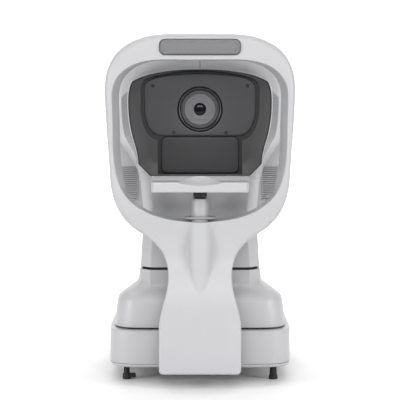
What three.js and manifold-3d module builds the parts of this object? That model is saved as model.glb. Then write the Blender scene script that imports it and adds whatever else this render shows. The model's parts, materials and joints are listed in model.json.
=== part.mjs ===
// A table-top automatic refractor and keratometer. Millimetres, +Z up. The patient sits at -Y and looks
// along +Y into the measuring window; the operator works at +Y. The origin is on the table, under the
// middle of the instrument.
import * as THREE from "three";
import { mergeVertices } from "three/addons/utils/BufferGeometryUtils.js";
import Module from "manifold-3d";

const wasm = await Module();
wasm.setup();

// ---- Driving dimensions ----
const GAP = 0.3; // clearance between neighbouring pieces
const WALL = 3; // thickness of the plastic shells
const EYE_Z = 375; // height of the optical axis

const FRAME = { front: -218, depth: 35, top: 474.5, bottom: 21.5, halfWidth: 126, shoulderZ: 402 };
const NECK = { halfWidth: 54.9, waist: 42.4, waistZ: 152, footDepth: 47, hollow: 17.2, hollowZ: 180 };
const OPENING = { top: 440, bottom: 225, halfWidth: 115, backInset: 6.5 };
const PAD = { halfWidth: 53, halfHeight: 10, z: 456.5, proud: 5, sunk: 3 };

const POST = { y: FRAME.front + 19, radius: 11.4, bore: 12, housing: 15.5, bottom: 142, top: 256 };
const CHIN = { halfWidth: 64.5, front: -240, rear: -188, bottom: 266.2, top: 279.5, cupX: 29, cupY: 21 };

const BASE = { halfWidth: 126, front: -170, rear: 222, bottom: 23, split: 27.5, top: 74, round: 4 };
const FOOT = { x: 102, frontY: -125, rearY: 180, radius: 4.75 };
const Y_RAIL = { x: 56, z: 58, radius: 5, front: -118, rear: 148 };
const X_RAIL = { z: 90, radius: 5, halfLength: 69.5, frontY: -35, rearY: 65 };
const CARRIAGE = { halfWidth: 70, front: -50, rear: 80, plateBottom: 66, plateTop: 75.5 };

const STAGE = {
  halfWidth: 120,
  front: -160,
  rear: 240,
  bottom: 76.5,
  shoulder: 104,
  shelf: 138,
  top: 153.8,
};
const FLOOR = { bottom: 100.3, top: 103 }; // the sheet that the stage cover and the column stand on
const LIFT = { half: 36, y: 10, wall: 4, top: 222, slack: 0.5 };

const COLUMN = { halfWidth: 82.5, front: -140, rear: 100, facet: 14, bottom: 157.3 };
const HEAD = { halfWidth: 122, front: -88, rear: 120, bottom: 234, top: 464, corner: 30, round: 8 };
const SNOUT = { front: -156, ridge: -149, bottom: 284.2 };
const LENS = { ring: 29.7, disc: 26.2, inner: 21, hole: 8.3 };
const VENT = { inner: 86, outer: 114, bottom: 247, top: 295, pitch: 4.8 };

const DISPLAY = { halfWidth: 92, bottom: 318, top: 445, pinY: 129, pinZ: 452, thickness: 18 };
const PRINTER = { halfWidth: 42, bottom: 252, top: 304, y: 92, z: 279, roll: 20, paper: 28.5 };
const STICK = { y: 190, z: 143, socket: 26 };
const BUTTONS = { up: -34, down: -52, radius: 6, proud: 2.5 };
const LOCK = { x: 55, stem: 4.5, radius: 12, height: 14 };
const INLET = { x0: -74, x1: -46, z0: 42, z1: 64, depth: 22, mouth: 14 };
const SWITCH = { x0: -33, x1: -19, z0: 43, z1: 63, depth: 10 };
const DISH = { radius: 60, stretch: 1.2, back: 15, above: 54.5 };

// ---- Looks ----
const LOOKS = {
  white: { color: 0xdcdcde, roughness: 0.42, metalness: 0 },
  grey: { color: 0x8a8a8c, roughness: 0.75, metalness: 0 },
  dark: { color: 0x4c4c4e, roughness: 0.5, metalness: 0 },
  black: { color: 0x161618, roughness: 0.4, metalness: 0 },
  rubber: { color: 0x1b1b1c, roughness: 0.85, metalness: 0 },
  steel: { color: 0xc4c6c8, roughness: 0.25, metalness: 1 },
  cast: { color: 0x9b9ea1, roughness: 0.55, metalness: 1 },
  glass: { color: 0x20242c, roughness: 0.08, metalness: 0 },
  board: { color: 0x1f5a38, roughness: 0.6, metalness: 0 },
  paper: { color: 0xf4f3ee, roughness: 0.9, metalness: 0 },
};

// ---- Solids ----
function solid(geometry) {
  const bare = geometry.clone();
  bare.deleteAttribute("normal");
  bare.deleteAttribute("uv");
  const merged = mergeVertices(bare, 1e-4);
  const mesh = new wasm.Mesh({
    numProp: 3,
    vertProperties: new Float32Array(merged.attributes.position.array),
    triVerts: new Uint32Array(merged.index.array),
  });
  return new wasm.Manifold(mesh);
}

function geometryOf(made) {
  const mesh = made.getMesh();
  const geometry = new THREE.BufferGeometry();
  geometry.setAttribute("position", new THREE.BufferAttribute(mesh.vertProperties, 3));
  geometry.setIndex(new THREE.BufferAttribute(mesh.triVerts, 1));
  geometry.computeVertexNormals();
  return geometry;
}

function cut(body, ...tools) {
  return tools.reduce((left, tool) => left.subtract(tool), body);
}

function join(...pieces) {
  return pieces.reduce((whole, piece) => whole.add(piece));
}

function box([x0, x1], [y0, y1], [z0, z1]) {
  const geometry = new THREE.BoxGeometry(x1 - x0, y1 - y0, z1 - z0);
  geometry.translate((x0 + x1) / 2, (y0 + y1) / 2, (z0 + z1) / 2);
  return solid(geometry);
}

// Each axis: where a drawing's own x, y and depth go.
const AXES = {
  x: [new THREE.Vector3(0, 1, 0), new THREE.Vector3(0, 0, 1), new THREE.Vector3(1, 0, 0)],
  y: [new THREE.Vector3(1, 0, 0), new THREE.Vector3(0, 0, 1), new THREE.Vector3(0, -1, 0)],
  z: [new THREE.Vector3(1, 0, 0), new THREE.Vector3(0, 1, 0), new THREE.Vector3(0, 0, 1)],
};

function lay(geometry, axis, from, to) {
  geometry.applyMatrix4(new THREE.Matrix4().makeBasis(...AXES[axis]));
  const shift = { x: [from, 0, 0], y: [0, to, 0], z: [0, 0, from] }[axis];
  return geometry.translate(...shift);
}

// A drawing pushed along an axis: (y, z) for x, (x, z) for y and (x, y) for z.
function prism(shape, axis, [from, to], segments = 4) {
  const options = { depth: to - from, bevelEnabled: false, curveSegments: segments };
  return solid(lay(new THREE.ExtrudeGeometry(shape, options), axis, from, to));
}

// The same, with both ends rounded over by "round".
function roundedPrism(shape, axis, [from, to], round, segments = 3) {
  const options = {
    depth: to - from - 2 * round,
    bevelSize: round,
    bevelThickness: round,
    bevelOffset: -round,
    bevelSegments: 1,
    curveSegments: segments,
  };
  return solid(lay(new THREE.ExtrudeGeometry(shape, options), axis, from + round, to - round));
}

// A round bar along an axis through the point [x, y, z], whose own coordinate on the axis is not used.
function rod(radius, axis, [from, to], centre, sides = 16) {
  const geometry = new THREE.CylinderGeometry(radius, radius, to - from, sides);
  const turns = { x: ["rotateZ", 0], y: ["rotateY", 1], z: ["rotateX", 2] };
  const [turn, index] = turns[axis];
  geometry[turn](Math.PI / 2);
  const place = [...centre];
  place[index] = (from + to) / 2;
  return solid(geometry.translate(...place));
}

// A turned piece: its profile is a list of [radius, height] from the axis back to the axis.
function turned(profile, [x, y, z], sides = 16) {
  const points = profile.map(([radius, height]) => new THREE.Vector2(radius, height));
  const geometry = new THREE.LatheGeometry(points, sides);
  return solid(geometry.rotateX(Math.PI / 2).translate(x, y, z));
}

// One closed skin through outlines with equal numbers of points, from low to high z or rear to front.
function loft(axis, sections) {
  const last = sections.length - 1;
  const first = sections[0].points;
  const near = (x, y) => first.findIndex((p) => Math.hypot(p.x - x, p.y - y) < 1e-3);
  const options = { depth: last, steps: last, bevelEnabled: false };
  const geometry = new THREE.ExtrudeGeometry(new THREE.Shape(first), options);
  const position = geometry.attributes.position;
  const basis = new THREE.Matrix4().makeBasis(...AXES[axis]);
  for (let i = 0; i < position.count; i += 1) {
    const section = sections[Math.round(position.getZ(i))];
    const point = section.points[near(position.getX(i), position.getY(i))];
    const depth = axis === "y" ? -section.at : section.at;
    const placed = new THREE.Vector3(point.x, point.y, depth).applyMatrix4(basis);
    position.setXYZ(i, placed.x, placed.y, placed.z);
  }
  return solid(geometry);
}

// ---- Outlines ----
// A half drawing that starts and ends on the axis x = 0, completed on the other side.
function mirrored(half, divisions = 4) {
  const right = half.getPoints(divisions);
  const left = right.filter((point) => Math.abs(point.x) > 1e-6);
  const other = left.reverse().map((point) => new THREE.Vector2(-point.x, point.y));
  return [...right, ...other];
}

function scaled(points, factorX, factorY, middleY) {
  return points.map(({ x, y }) => new THREE.Vector2(x * factorX, middleY + (y - middleY) * factorY));
}

// A box with softly rounded sides and corners, in plan.
function softBox(halfWidth, front, rear, count = 36, power = 9) {
  const middle = (front + rear) / 2;
  const halfDepth = (rear - front) / 2;
  const swell = (value) => Math.sign(value) * Math.abs(value) ** (2 / power);
  const points = [];
  for (let i = 0; i < count; i += 1) {
    const angle = (i * 2 * Math.PI) / count;
    const x = halfWidth * swell(Math.cos(angle));
    points.push(new THREE.Vector2(x, middle + halfDepth * swell(Math.sin(angle))));
  }
  return points;
}

function roundedRect(x0, x1, y0, y1, radius) {
  const shape = new THREE.Shape();
  shape.moveTo(x0 + radius, y0);
  shape.lineTo(x1 - radius, y0);
  shape.absarc(x1 - radius, y0 + radius, radius, -Math.PI / 2, 0);
  shape.lineTo(x1, y1 - radius);
  shape.absarc(x1 - radius, y1 - radius, radius, 0, Math.PI / 2);
  shape.lineTo(x0 + radius, y1);
  shape.absarc(x0 + radius, y1 - radius, radius, Math.PI / 2, Math.PI);
  shape.lineTo(x0, y0 + radius);
  shape.absarc(x0 + radius, y0 + radius, radius, Math.PI, 1.5 * Math.PI);
  return shape;
}

// The face frame from the front: a wide ring on a waisted neck that spreads again at the base.
function frameOutline() {
  const { top, bottom, halfWidth, shoulderZ } = FRAME;
  const half = new THREE.Path().moveTo(0, bottom);
  half.lineTo(NECK.halfWidth - 12, bottom);
  half.quadraticCurveTo(NECK.halfWidth, bottom, NECK.halfWidth, bottom + 12);
  half.lineTo(NECK.halfWidth, 82);
  half.bezierCurveTo(NECK.halfWidth, 106, NECK.waist, 126, NECK.waist, NECK.waistZ);
  half.bezierCurveTo(NECK.waist, 180, 56, 196, 80, 210.5);
  half.bezierCurveTo(106, 226, 118, 252, 119.6, 285);
  half.bezierCurveTo(120.6, 320, halfWidth, 365, halfWidth, shoulderZ);
  half.bezierCurveTo(halfWidth, 448, 96, top, 38, top);
  half.lineTo(0, top);
  return mirrored(half, 6);
}

// The frame's opening, from the front: narrower towards the back by "inset".
function openingOutline(inset) {
  const side = OPENING.halfWidth - inset;
  const half = new THREE.Path().moveTo(0, OPENING.bottom + inset / 4);
  half.bezierCurveTo(50, OPENING.bottom + inset / 4, 84, 238 + inset / 4, 101 - inset / 2, 264);
  half.bezierCurveTo(112 - inset, 282, side, 305, side, 345);
  half.bezierCurveTo(side, 362, side + 1, 372, side + 1, 392);
  half.bezierCurveTo(side + 1, 422, 92 - inset, OPENING.top - 1, 50, OPENING.top);
  half.lineTo(0, OPENING.top);
  return mirrored(half, 6);
}

// The measuring window, and the ridge and the root of the snout around it.
function windowOutline() {
  const half = new THREE.Path().moveTo(0, 429);
  half.bezierCurveTo(45, 429, 75, 423, 92, 412.5);
  half.bezierCurveTo(96, 406, 97.5, 396, 97.5, 385);
  half.bezierCurveTo(97.5, 365, 95, 350, 91.3, 336.3);
  half.bezierCurveTo(87.5, 325, 84.3, 312, 84, 300.6);
  half.lineTo(68, SNOUT.bottom);
  half.lineTo(0, SNOUT.bottom);
  return mirrored(half);
}

function ridgeOutline() {
  const half = new THREE.Path().moveTo(0, 450);
  half.bezierCurveTo(40, 450, 70, 447, 87, 439);
  half.bezierCurveTo(101, 431, 107.5, 405, 108, 385);
  half.bezierCurveTo(108, 365, 106, 350, 103.2, 337.6);
  half.bezierCurveTo(96, 324, 86, 310, 84.7, 298);
  half.lineTo(82, SNOUT.bottom - 8);
  half.lineTo(0, SNOUT.bottom - 8);
  return mirrored(half);
}

function rootOutline() {
  const half = new THREE.Path().moveTo(0, 457);
  half.bezierCurveTo(45, 457, 80, 455, 98, 447);
  half.bezierCurveTo(112, 437, 118, 410, 118.5, 385);
  half.bezierCurveTo(119, 365, 118.5, 345, 114.5, 325);
  half.bezierCurveTo(106, 311, 92, 298, 88, 282);
  half.lineTo(86, SNOUT.bottom - 10);
  half.lineTo(0, SNOUT.bottom - 10);
  return mirrored(half);
}

// The bezel's opening, which runs round the measuring face and the block under it.
function bezelOpening() {
  const half = new THREE.Path().moveTo(0, 427.5);
  half.bezierCurveTo(20, 427.5, 50, 424.5, 70, 417.5);
  half.quadraticCurveTo(81, 414, 81, 398);
  half.lineTo(81, 375);
  half.bezierCurveTo(80, 350, 70, 334, 57.5, 333);
  half.lineTo(57.5, 286.6);
  half.lineTo(0, 286.6);
  return mirrored(half);
}

// The column in plan: a box whose front corners are cut to facets.
function columnPlan(halfWidth, front, rear) {
  const half = new THREE.Path().moveTo(0, front);
  half.lineTo(halfWidth - COLUMN.facet, front);
  half.lineTo(halfWidth, front + COLUMN.facet + 4);
  half.lineTo(halfWidth, rear - 20);
  half.lineTo(halfWidth - 20, rear);
  half.lineTo(0, rear);
  return mirrored(half);
}

// ---- The model ----
const model = new THREE.Group();

function add(name, made, look) {
  const mesh = new THREE.Mesh(geometryOf(made), new THREE.MeshStandardMaterial(LOOKS[look]));
  mesh.name = name;
  model.add(mesh);
}

// -- Face frame, forehead pad and the chin rest's guide --
function frameSide() {
  const { front, top, bottom, depth } = FRAME;
  const back = front + depth;
  const foot = front + NECK.footDepth;
  const deepest = front + NECK.hollow;
  const shape = new THREE.Shape().moveTo(front - 1, top + 1);
  shape.lineTo(front - 1, 272);
  shape.bezierCurveTo(front + 1, 240, deepest, 215, deepest, NECK.hollowZ);
  shape.bezierCurveTo(deepest, 164, front + 4, 148, front - 1, 112);
  shape.lineTo(front - 1, bottom - 1);
  shape.lineTo(foot, bottom - 1);
  shape.lineTo(foot, BASE.top - 1.5);
  shape.lineTo(back, BASE.top - 1.5);
  shape.lineTo(back, top + 1);
  return shape;
}

function addFaceFrame() {
  const { front, depth } = FRAME;
  const sides = [-FRAME.halfWidth - 1, FRAME.halfWidth + 1];
  const depths = [front, front + NECK.footDepth + 6];
  const slab = roundedPrism(new THREE.Shape(frameOutline()), "y", depths, 5);
  const plate = slab.intersect(prism(frameSide(), "x", sides, 8));
  const guide = rod(POST.housing, "z", [118, OPENING.bottom + 1], [0, POST.y, 0], 24);
  const opening = loft("y", [
    { at: front + depth + 1, points: openingOutline(OPENING.backInset) },
    { at: front - 1, points: openingOutline(0) },
  ]);
  const bore = rod(POST.bore, "z", [112, 240], [0, POST.y, 0], 24);
  const bay = box([-19, 19], [front + 6, front + depth + 20], [36, 112]);
  const padSeat = prism(padOutline(GAP), "y", [front - 1, front + PAD.sunk + GAP]);
  add("face_frame", cut(join(plate, guide), opening, bore, bay, padSeat), "white");

  const lid = box([-18.7, 18.7], [front + depth - 2.7, front + depth], [BASE.top, 111.7]);
  add("neck_rear_cover", lid, "white");
  const pad = roundedPrism(padOutline(0), "y", [front - PAD.proud, front + PAD.sunk], 2);
  add("forehead_pad", pad, "grey");
}

function padOutline(spread) {
  const { halfWidth, halfHeight, z } = PAD;
  const width = halfWidth + spread;
  const height = halfHeight + spread;
  return roundedRect(-width, width, z - height, z + height, 7);
}

function addChinRest() {
  const place = [0, POST.y, 0];
  const rim = prism(roundedRect(-21, 21, POST.y - 15.2, POST.y + 15.2, 15), "z", [229.5, 232]);
  add("post_collar", cut(rim, rod(POST.bore, "z", [220, 240], place, 24)), "white");
  const motor = box([-17, 17], [FRAME.front + 7, FRAME.front + 31], [38, 104]);
  const nose = rod(6, "z", [103, 111.5], place);
  add("chin_lift_actuator", join(motor, nose), "black");

  add("chin_post", rod(POST.radius, "z", [POST.bottom, POST.top], place, 24), "steel");
  add("chin_bracket", rod(9.2, "z", [POST.top + GAP, CHIN.bottom - GAP], place), "black");

  // A shallow dish that dips towards the patient: its ball cuts the cup and the plate's front lip alike.
  const cupY = CHIN.front + CHIN.cupY + 2;
  const ball = new THREE.SphereGeometry(DISH.radius, 36, 24).scale(DISH.stretch, 1, 1);
  const dish = solid(ball.translate(0, cupY - DISH.back, CHIN.top + DISH.above));
  const plan = roundedRect(-CHIN.halfWidth, CHIN.halfWidth, CHIN.front, CHIN.rear, 9);
  const plate = roundedPrism(plan, "z", [CHIN.bottom, CHIN.top], 1.5);
  const seat = ellipse(CHIN.cupX + GAP, CHIN.cupY + GAP, cupY, [CHIN.bottom + 2, CHIN.top + 20]);
  add("chin_plate", cut(plate, seat, dish), "white");
  const cup = ellipse(CHIN.cupX, CHIN.cupY, cupY, [CHIN.bottom + 2 + GAP, CHIN.top + 7.4]);
  add("chin_cup", cut(cup, dish), "white");
}

function ellipse(halfX, halfY, middleY, range) {
  const shape = new THREE.Shape().absellipse(0, middleY, halfX, halfY, 0, 2 * Math.PI);
  return prism(shape, "z", range, 12);
}

// -- Base --
function baseShell(inset, levels) {
  const { halfWidth, front, rear } = BASE;
  const sections = levels.map(([z, extra]) => {
    const edge = inset + extra;
    return { at: z, points: softBox(halfWidth - edge, front + edge, rear - edge) };
  });
  return loft("z", sections);
}

function addBase() {
  const { bottom, split, top, round } = BASE;
  const bottomRound = 3;
  const trayLevels = [[bottom, bottomRound], [bottom + 1, 1], [bottom + bottomRound, 0], [split, 0]];
  const tray = baseShell(0, trayLevels);
  const well = baseShell(WALL, [[bottom + 4, 2], [split + 1, 2]]);
  const towers = [];
  const bores = [];
  for (const side of [-1, 1]) {
    const x = side * Y_RAIL.x;
    for (const y of [Y_RAIL.front, Y_RAIL.rear - 10]) {
      towers.push(box([x - 9, x + 9], [y, y + 10], [bottom + 3, Y_RAIL.z + 9]));
    }
    const length = [Y_RAIL.front - 1, Y_RAIL.rear + 1];
    bores.push(rod(Y_RAIL.radius + GAP, "y", length, [x, 0, Y_RAIL.z]));
  }
  add("base_tray", cut(join(cut(tray, well), ...towers), ...bores), "white");

  const coverLevels = [[split + GAP, 0], [top - round, 0], [top - 1.2, 1.2], [top, round]];
  const cover = baseShell(0, coverLevels);
  const room = baseShell(WALL, [[split - 1, 0], [top - WALL, 0]]);
  const travel = box([-72, 72], [-75, 105], [top - 10, top + 5]);
  const wireHole = rod(6, "y", [BASE.front - 5, BASE.front + 10], [0, 0, 52]);
  const rearWall = [BASE.rear - 10, BASE.rear + 5];
  const [inletHole, switchHole] = [INLET, SWITCH].map(({ x0, x1, z0, z1 }) =>
    box([x0 - GAP, x1 + GAP], rearWall, [z0 - GAP, z1 + GAP]),
  );
  add("base_cover", cut(cover, room, travel, wireHole, inletHole, switchHole), "white");

  for (const [name, side] of [["y_rail_left", -1], ["y_rail_right", 1]]) {
    const place = [side * Y_RAIL.x, 0, Y_RAIL.z];
    add(name, rod(Y_RAIL.radius, "y", [Y_RAIL.front, Y_RAIL.rear], place), "steel");
  }
  add("power_supply", box([-40, 40], [155, 205], [bottom + 4 + GAP, 62]), "cast");
  add("control_board", box([-36, 36], [-100, 100], [bottom + 10, bottom + 12]), "board");
}

function addPowerInlet() {
  const rear = BASE.rear;
  const { x0, x1, z0, z1, depth, mouth } = INLET;
  const body = box([x0, x1], [rear - depth, rear + 0.5], [z0, z1]);
  const hollow = box([x0 + WALL, x1 - WALL], [rear - mouth, rear + 3], [z0 + WALL, z1 - WALL]);
  add("power_inlet", cut(body, hollow), "black");
  // The rocker's two faces meet in a shallow V over its pivot.
  const pivotZ = (SWITCH.z0 + SWITCH.z1) / 2;
  const reach = pivotZ - SWITCH.z0 - 0.8;
  const rocker = new THREE.Shape().moveTo(rear - SWITCH.depth, pivotZ - 6);
  rocker.lineTo(rear - SWITCH.depth, pivotZ + 6);
  rocker.lineTo(rear + 1.5, pivotZ + reach);
  rocker.lineTo(rear, pivotZ);
  rocker.lineTo(rear + 1.5, pivotZ - reach);
  add("power_switch", prism(rocker, "x", [SWITCH.x0, SWITCH.x1]), "black");
}

function addFeet() {
  const top = BASE.bottom - GAP;
  const profile = [[0, 0], [6.2, 0], [6.2, 2.5], [FOOT.radius, 6], [FOOT.radius, top - 1.6]];
  profile.push([7.6, top - 1.6], [7.6, top], [0, top]);
  const places = [
    ["foot_front_right", FOOT.x, FOOT.frontY],
    ["foot_rear_left", -FOOT.x, FOOT.rearY],
    ["foot_rear_right", FOOT.x, FOOT.rearY],
  ];
  for (const [name, x, y] of places) {
    add(name, turned(profile, [x, y, 0], 12), "rubber");
  }
  // The front left foot is a levelling screw with a small thumb tab at its bottom.
  const stem = rod(5.8, "z", [0, top], [-FOOT.x, FOOT.frontY, 0], 12);
  const tab = box([-FOOT.x, -FOOT.x + 12.5], [FOOT.frontY - 3.5, FOOT.frontY + 3.5], [2, 8.6]);
  add("levelling_foot", join(stem, tab), "rubber");
}

// -- Carriages --
function addCarriage() {
  const { halfWidth, front, rear, plateBottom, plateTop } = CARRIAGE;
  const plate = box([-halfWidth, halfWidth], [front, rear], [plateBottom, plateTop]);
  const parts = [plate];
  const bores = [];
  for (const side of [-1, 1]) {
    const x = side * Y_RAIL.x;
    parts.push(box([x - 10, x + 10], [front, rear], [Y_RAIL.z - 10, plateBottom + 1]));
    bores.push(rod(Y_RAIL.radius + GAP, "y", [front - 1, rear + 1], [x, 0, Y_RAIL.z]));
    const post = side > 0 ? [halfWidth - 8, halfWidth] : [-halfWidth, -halfWidth + 8];
    parts.push(box(post, [front, rear], [plateTop - 1, X_RAIL.z + 7]));
  }
  for (const y of [X_RAIL.frontY, X_RAIL.rearY]) {
    bores.push(rod(X_RAIL.radius + GAP, "x", [-halfWidth - 1, halfWidth + 1], [0, y, X_RAIL.z]));
  }
  add("y_carriage", cut(join(...parts), ...bores), "cast");
  for (const [name, y] of [["x_rail_front", X_RAIL.frontY], ["x_rail_rear", X_RAIL.rearY]]) {
    const reach = [-X_RAIL.halfLength, X_RAIL.halfLength];
    add(name, rod(X_RAIL.radius, "x", reach, [0, y, X_RAIL.z]), "steel");
  }
}

// The stage's skirt: level height, half width, front and rear.
function skirt(inset) {
  const { bottom, halfWidth, front, rear, shoulder, shelf } = STAGE;
  const levels = [
    [bottom, halfWidth, front, rear],
    [shoulder, halfWidth - 3, front + 2, rear - 2],
    [shoulder + 11, halfWidth - 5.5, front + 4, rear - 3.5],
    [shoulder + 18, halfWidth - 13, front + 11, rear - 7],
    [shoulder + 26, halfWidth - 25, front + 22, rear - 15],
    [shelf, halfWidth - 35, front + 33, rear - 25],
  ];
  const sections = levels.map(([z, width, y0, y1], i) => {
    const at = i === 0 && inset > 0 ? z - 1 : z - inset;
    return { at, points: softBox(width - inset, y0 + inset, y1 - inset) };
  });
  return loft("z", sections);
}

// What the skirt's shoulders lose: from level with the neck in front, they fall away to the rear.
function shoulderFall(inset) {
  const outline = (points) => points.map(([x, z]) => new THREE.Vector2(x - inset, z - 0.9 * inset));
  const rear = outline([[99.7, 99.2], [150, 61.5], [150, 200], [80, 200]]);
  const front = outline([[83.5, 144.1], [140, 101.7], [140, 200], [83.5, 200]]);
  const right = loft("y", [{ at: STAGE.rear, points: rear }, { at: STAGE.front, points: front }]);
  return join(right, right.mirror([1, 0, 0]));
}

function neckPrism(inset, [from, to]) {
  const { halfWidth, front, rear } = COLUMN;
  const plan = columnPlan(halfWidth - inset, front + inset, rear - inset);
  return prism(new THREE.Shape(plan), "z", [from, to]);
}

function addStage() {
  const { top, shelf } = STAGE;
  const outside = join(cut(skirt(0), shoulderFall(0)), neckPrism(0, [110, top]));
  const room = cut(skirt(WALL), shoulderFall(0.85 * WALL));
  const inside = join(room, neckPrism(WALL, [105, top + 5]));
  const through = [shelf - 10, shelf + 5];
  const holes = [
    rod(20, "z", through, [0, STICK.y, 0]),
    rod(BUTTONS.radius + 0.4, "z", through, [BUTTONS.up, STICK.y, 0]),
    rod(BUTTONS.radius + 0.4, "z", through, [BUTTONS.down, STICK.y, 0]),
    rod(LOCK.stem + 0.5, "z", through, [LOCK.x, STICK.y, 0]),
  ];
  add("stage_cover", cut(outside, inside, ...holes), "white");

  const floorPlan = new THREE.Shape(softBox(91, STAGE.front + 8.5, STAGE.rear - 12));
  const floor = prism(floorPlan, "z", [FLOOR.bottom, FLOOR.top]);
  const block = box([-18, 18], [-48, 78], [80, FLOOR.bottom + 1]);
  const bores = [X_RAIL.frontY, X_RAIL.rearY].map((y) =>
    rod(X_RAIL.radius + GAP, "x", [-30, 30], [0, y, X_RAIL.z]),
  );
  add("stage_chassis", cut(join(floor, block), ...bores), "cast");

  const standing = FLOOR.top + GAP;
  const liner = cut(neckPrism(6, [standing, 190]), neckPrism(8, [standing - 1, 200]));
  add("column_liner", liner, "black");

  const { half, y, wall } = LIFT;
  const outer = box([-half, half], [y - half, y + half], [standing, LIFT.top]);
  const hollow = half - wall;
  const inner = box([-hollow, hollow], [y - hollow, y + hollow], [standing - 1, LIFT.top + 1]);
  add("lift_column", cut(outer, inner), "cast");
  const motor = box([-22, 22], [y - 22, y + 22], [standing, 186]);
  add("lift_actuator", cut(motor, rod(5.6, "z", [150, 190], [0, y, 0])), "black");
}

function addStageControls() {
  const { shelf } = STAGE;
  const range = [shelf - 6, shelf + BUTTONS.proud];
  for (const [name, x] of [["chin_up_button", BUTTONS.up], ["chin_down_button", BUTTONS.down]]) {
    add(name, rod(BUTTONS.radius, "z", range, [x, STICK.y, 0]), "dark");
  }
  const { stem, radius, height } = LOCK;
  const knob = [[0, -8], [stem, -8], [stem, 1.2], [radius, 1.2], [radius, height - 2]];
  knob.push([radius - 2, height], [0, height]);
  add("stage_lock_knob", turned(knob, [LOCK.x, STICK.y, shelf]), "black");
}

// -- Joystick --
function addJoystick() {
  const { y, z, socket } = STICK;
  const centre = [0, y, z];
  const rim = [[20.4, -4.7], [socket, -4.7], [socket, -2], [23, 1.5], [20.4, 1.5], [20.4, -4.7]];
  add("joystick_socket", turned(rim, centre, 24), "black");
  const ring = [[13, -4], [17, -4], [17, 4], [13, 4], [13, -4]];
  add("joystick_gimbal", turned(ring, centre, 20), "steel");
  const lever = [[0, -9], [6.4, -6.4], [9, 0], [6.4, 6.4], [5, 9], [5, 48], [0, 48]];
  add("joystick_lever", turned(lever, centre), "steel");
  const wheel = [[5.6, 12], [21, 12], [21, 24], [5.6, 24], [5.6, 12]];
  add("joystick_ring", turned(wheel, centre, 24), "dark");
  const grip = [[5.3, 24.5], [14, 24.5], [15.5, 32], [13.5, 50], [15, 66], [13, 75], [7, 77]];
  grip.push([7, 52], [5.3, 48.5], [5.3, 24.5]);
  add("joystick_grip", turned(grip, centre), "black");
  const button = [[0, 58], [6.6, 58], [6.6, 78], [5, 80], [0, 80]];
  add("joystick_button", turned(button, centre), "grey");
}

// -- Head --
function columnLoft(inset) {
  const widths = [
    [COLUMN.bottom, 82.5, COLUMN.front],
    [200, 79.8, COLUMN.front - 7],
    [244, 79, COLUMN.front - 12],
    [SNOUT.bottom, 82.5, SNOUT.front + 0.5],
    [303, 84, SNOUT.front + 4],
  ];
  const sections = widths.map(([z, width, front], i) => ({
    at: i === 0 && inset > 0 ? z - 2 : z,
    points: columnPlan(width - inset, front + inset, COLUMN.rear - inset),
  }));
  return loft("z", sections);
}

function snoutLoft(inset) {
  const middle = 340;
  const shrink = (points, half) => scaled(points, 1 - inset / half, 1 - inset / half, middle);
  return loft("y", [
    { at: HEAD.front + 12, points: shrink(rootOutline(), 118) },
    { at: SNOUT.ridge + inset, points: shrink(ridgeOutline(), 108) },
    { at: SNOUT.front + inset, points: shrink(scaled(windowOutline(), 1.02, 1.02, 350), 98) },
  ]);
}

function housingLoft(inset, openRear) {
  const { halfWidth, front, rear, bottom, top, corner, round } = HEAD;
  const middle = (bottom + top) / 2;
  const side = halfWidth - inset;
  const rect = roundedRect(-side, side, bottom + inset, top - inset, corner - inset);
  const points = rect.getPoints(4).slice(0, -1);
  const soft = (amount) => scaled(points, 1 - amount / halfWidth, 1 - amount / halfWidth, middle);
  const end = openRear ? rear + 5 : rear;
  return loft("y", [
    { at: end, points },
    { at: front + round + inset, points },
    { at: front + 2.4 + inset, points: soft(2.4) },
    { at: front + inset, points: soft(round) },
  ]);
}

function ventSlots(side) {
  const slots = [];
  const inner = VENT.inner + 2.5;
  const outer = VENT.outer - 2.5;
  const range = side > 0 ? [inner, outer] : [-outer, -inner];
  for (let z = VENT.bottom + 3.4; z < VENT.top - 4; z += VENT.pitch) {
    slots.push(box(range, [HEAD.front - 2, HEAD.front + 6], [z, z + VENT.pitch / 2]));
  }
  return slots;
}

function ventPlate(side, inset) {
  const inner = VENT.inner + inset;
  const outer = VENT.outer - inset;
  const range = side > 0 ? [inner, outer] : [-outer, -inner];
  return { range, height: [VENT.bottom + inset, VENT.top - inset] };
}

function addHeadShells() {
  const outside = join(columnLoft(0), snoutLoft(0), housingLoft(0, false));
  const inside = join(columnLoft(WALL), snoutLoft(WALL), housingLoft(WALL, true));
  const window = prism(new THREE.Shape(windowOutline()), "y", [SNOUT.front - 5, SNOUT.front + 12]);
  const vents = [-1, 1].map((side) => {
    const { range, height } = ventPlate(side, 0);
    return box(range, [HEAD.front - 5, HEAD.front + 8], height);
  });
  const whole = cut(outside, inside, window, ...vents);
  for (const [name, side] of [["head_shell_left", -1], ["head_shell_right", 1]]) {
    const range = side > 0 ? [GAP / 2, 200] : [-200, -GAP / 2];
    add(name, whole.intersect(box(range, [-300, 300], [100, 500])), "white");
  }
  for (const [name, side] of [["vent_grille_left", -1], ["vent_grille_right", 1]]) {
    const { range, height } = ventPlate(side, GAP);
    const plate = box(range, [HEAD.front + 0.6, HEAD.front + 3.4], height);
    add(name, cut(plate, ...ventSlots(side)), "grey");
  }
}

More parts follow.
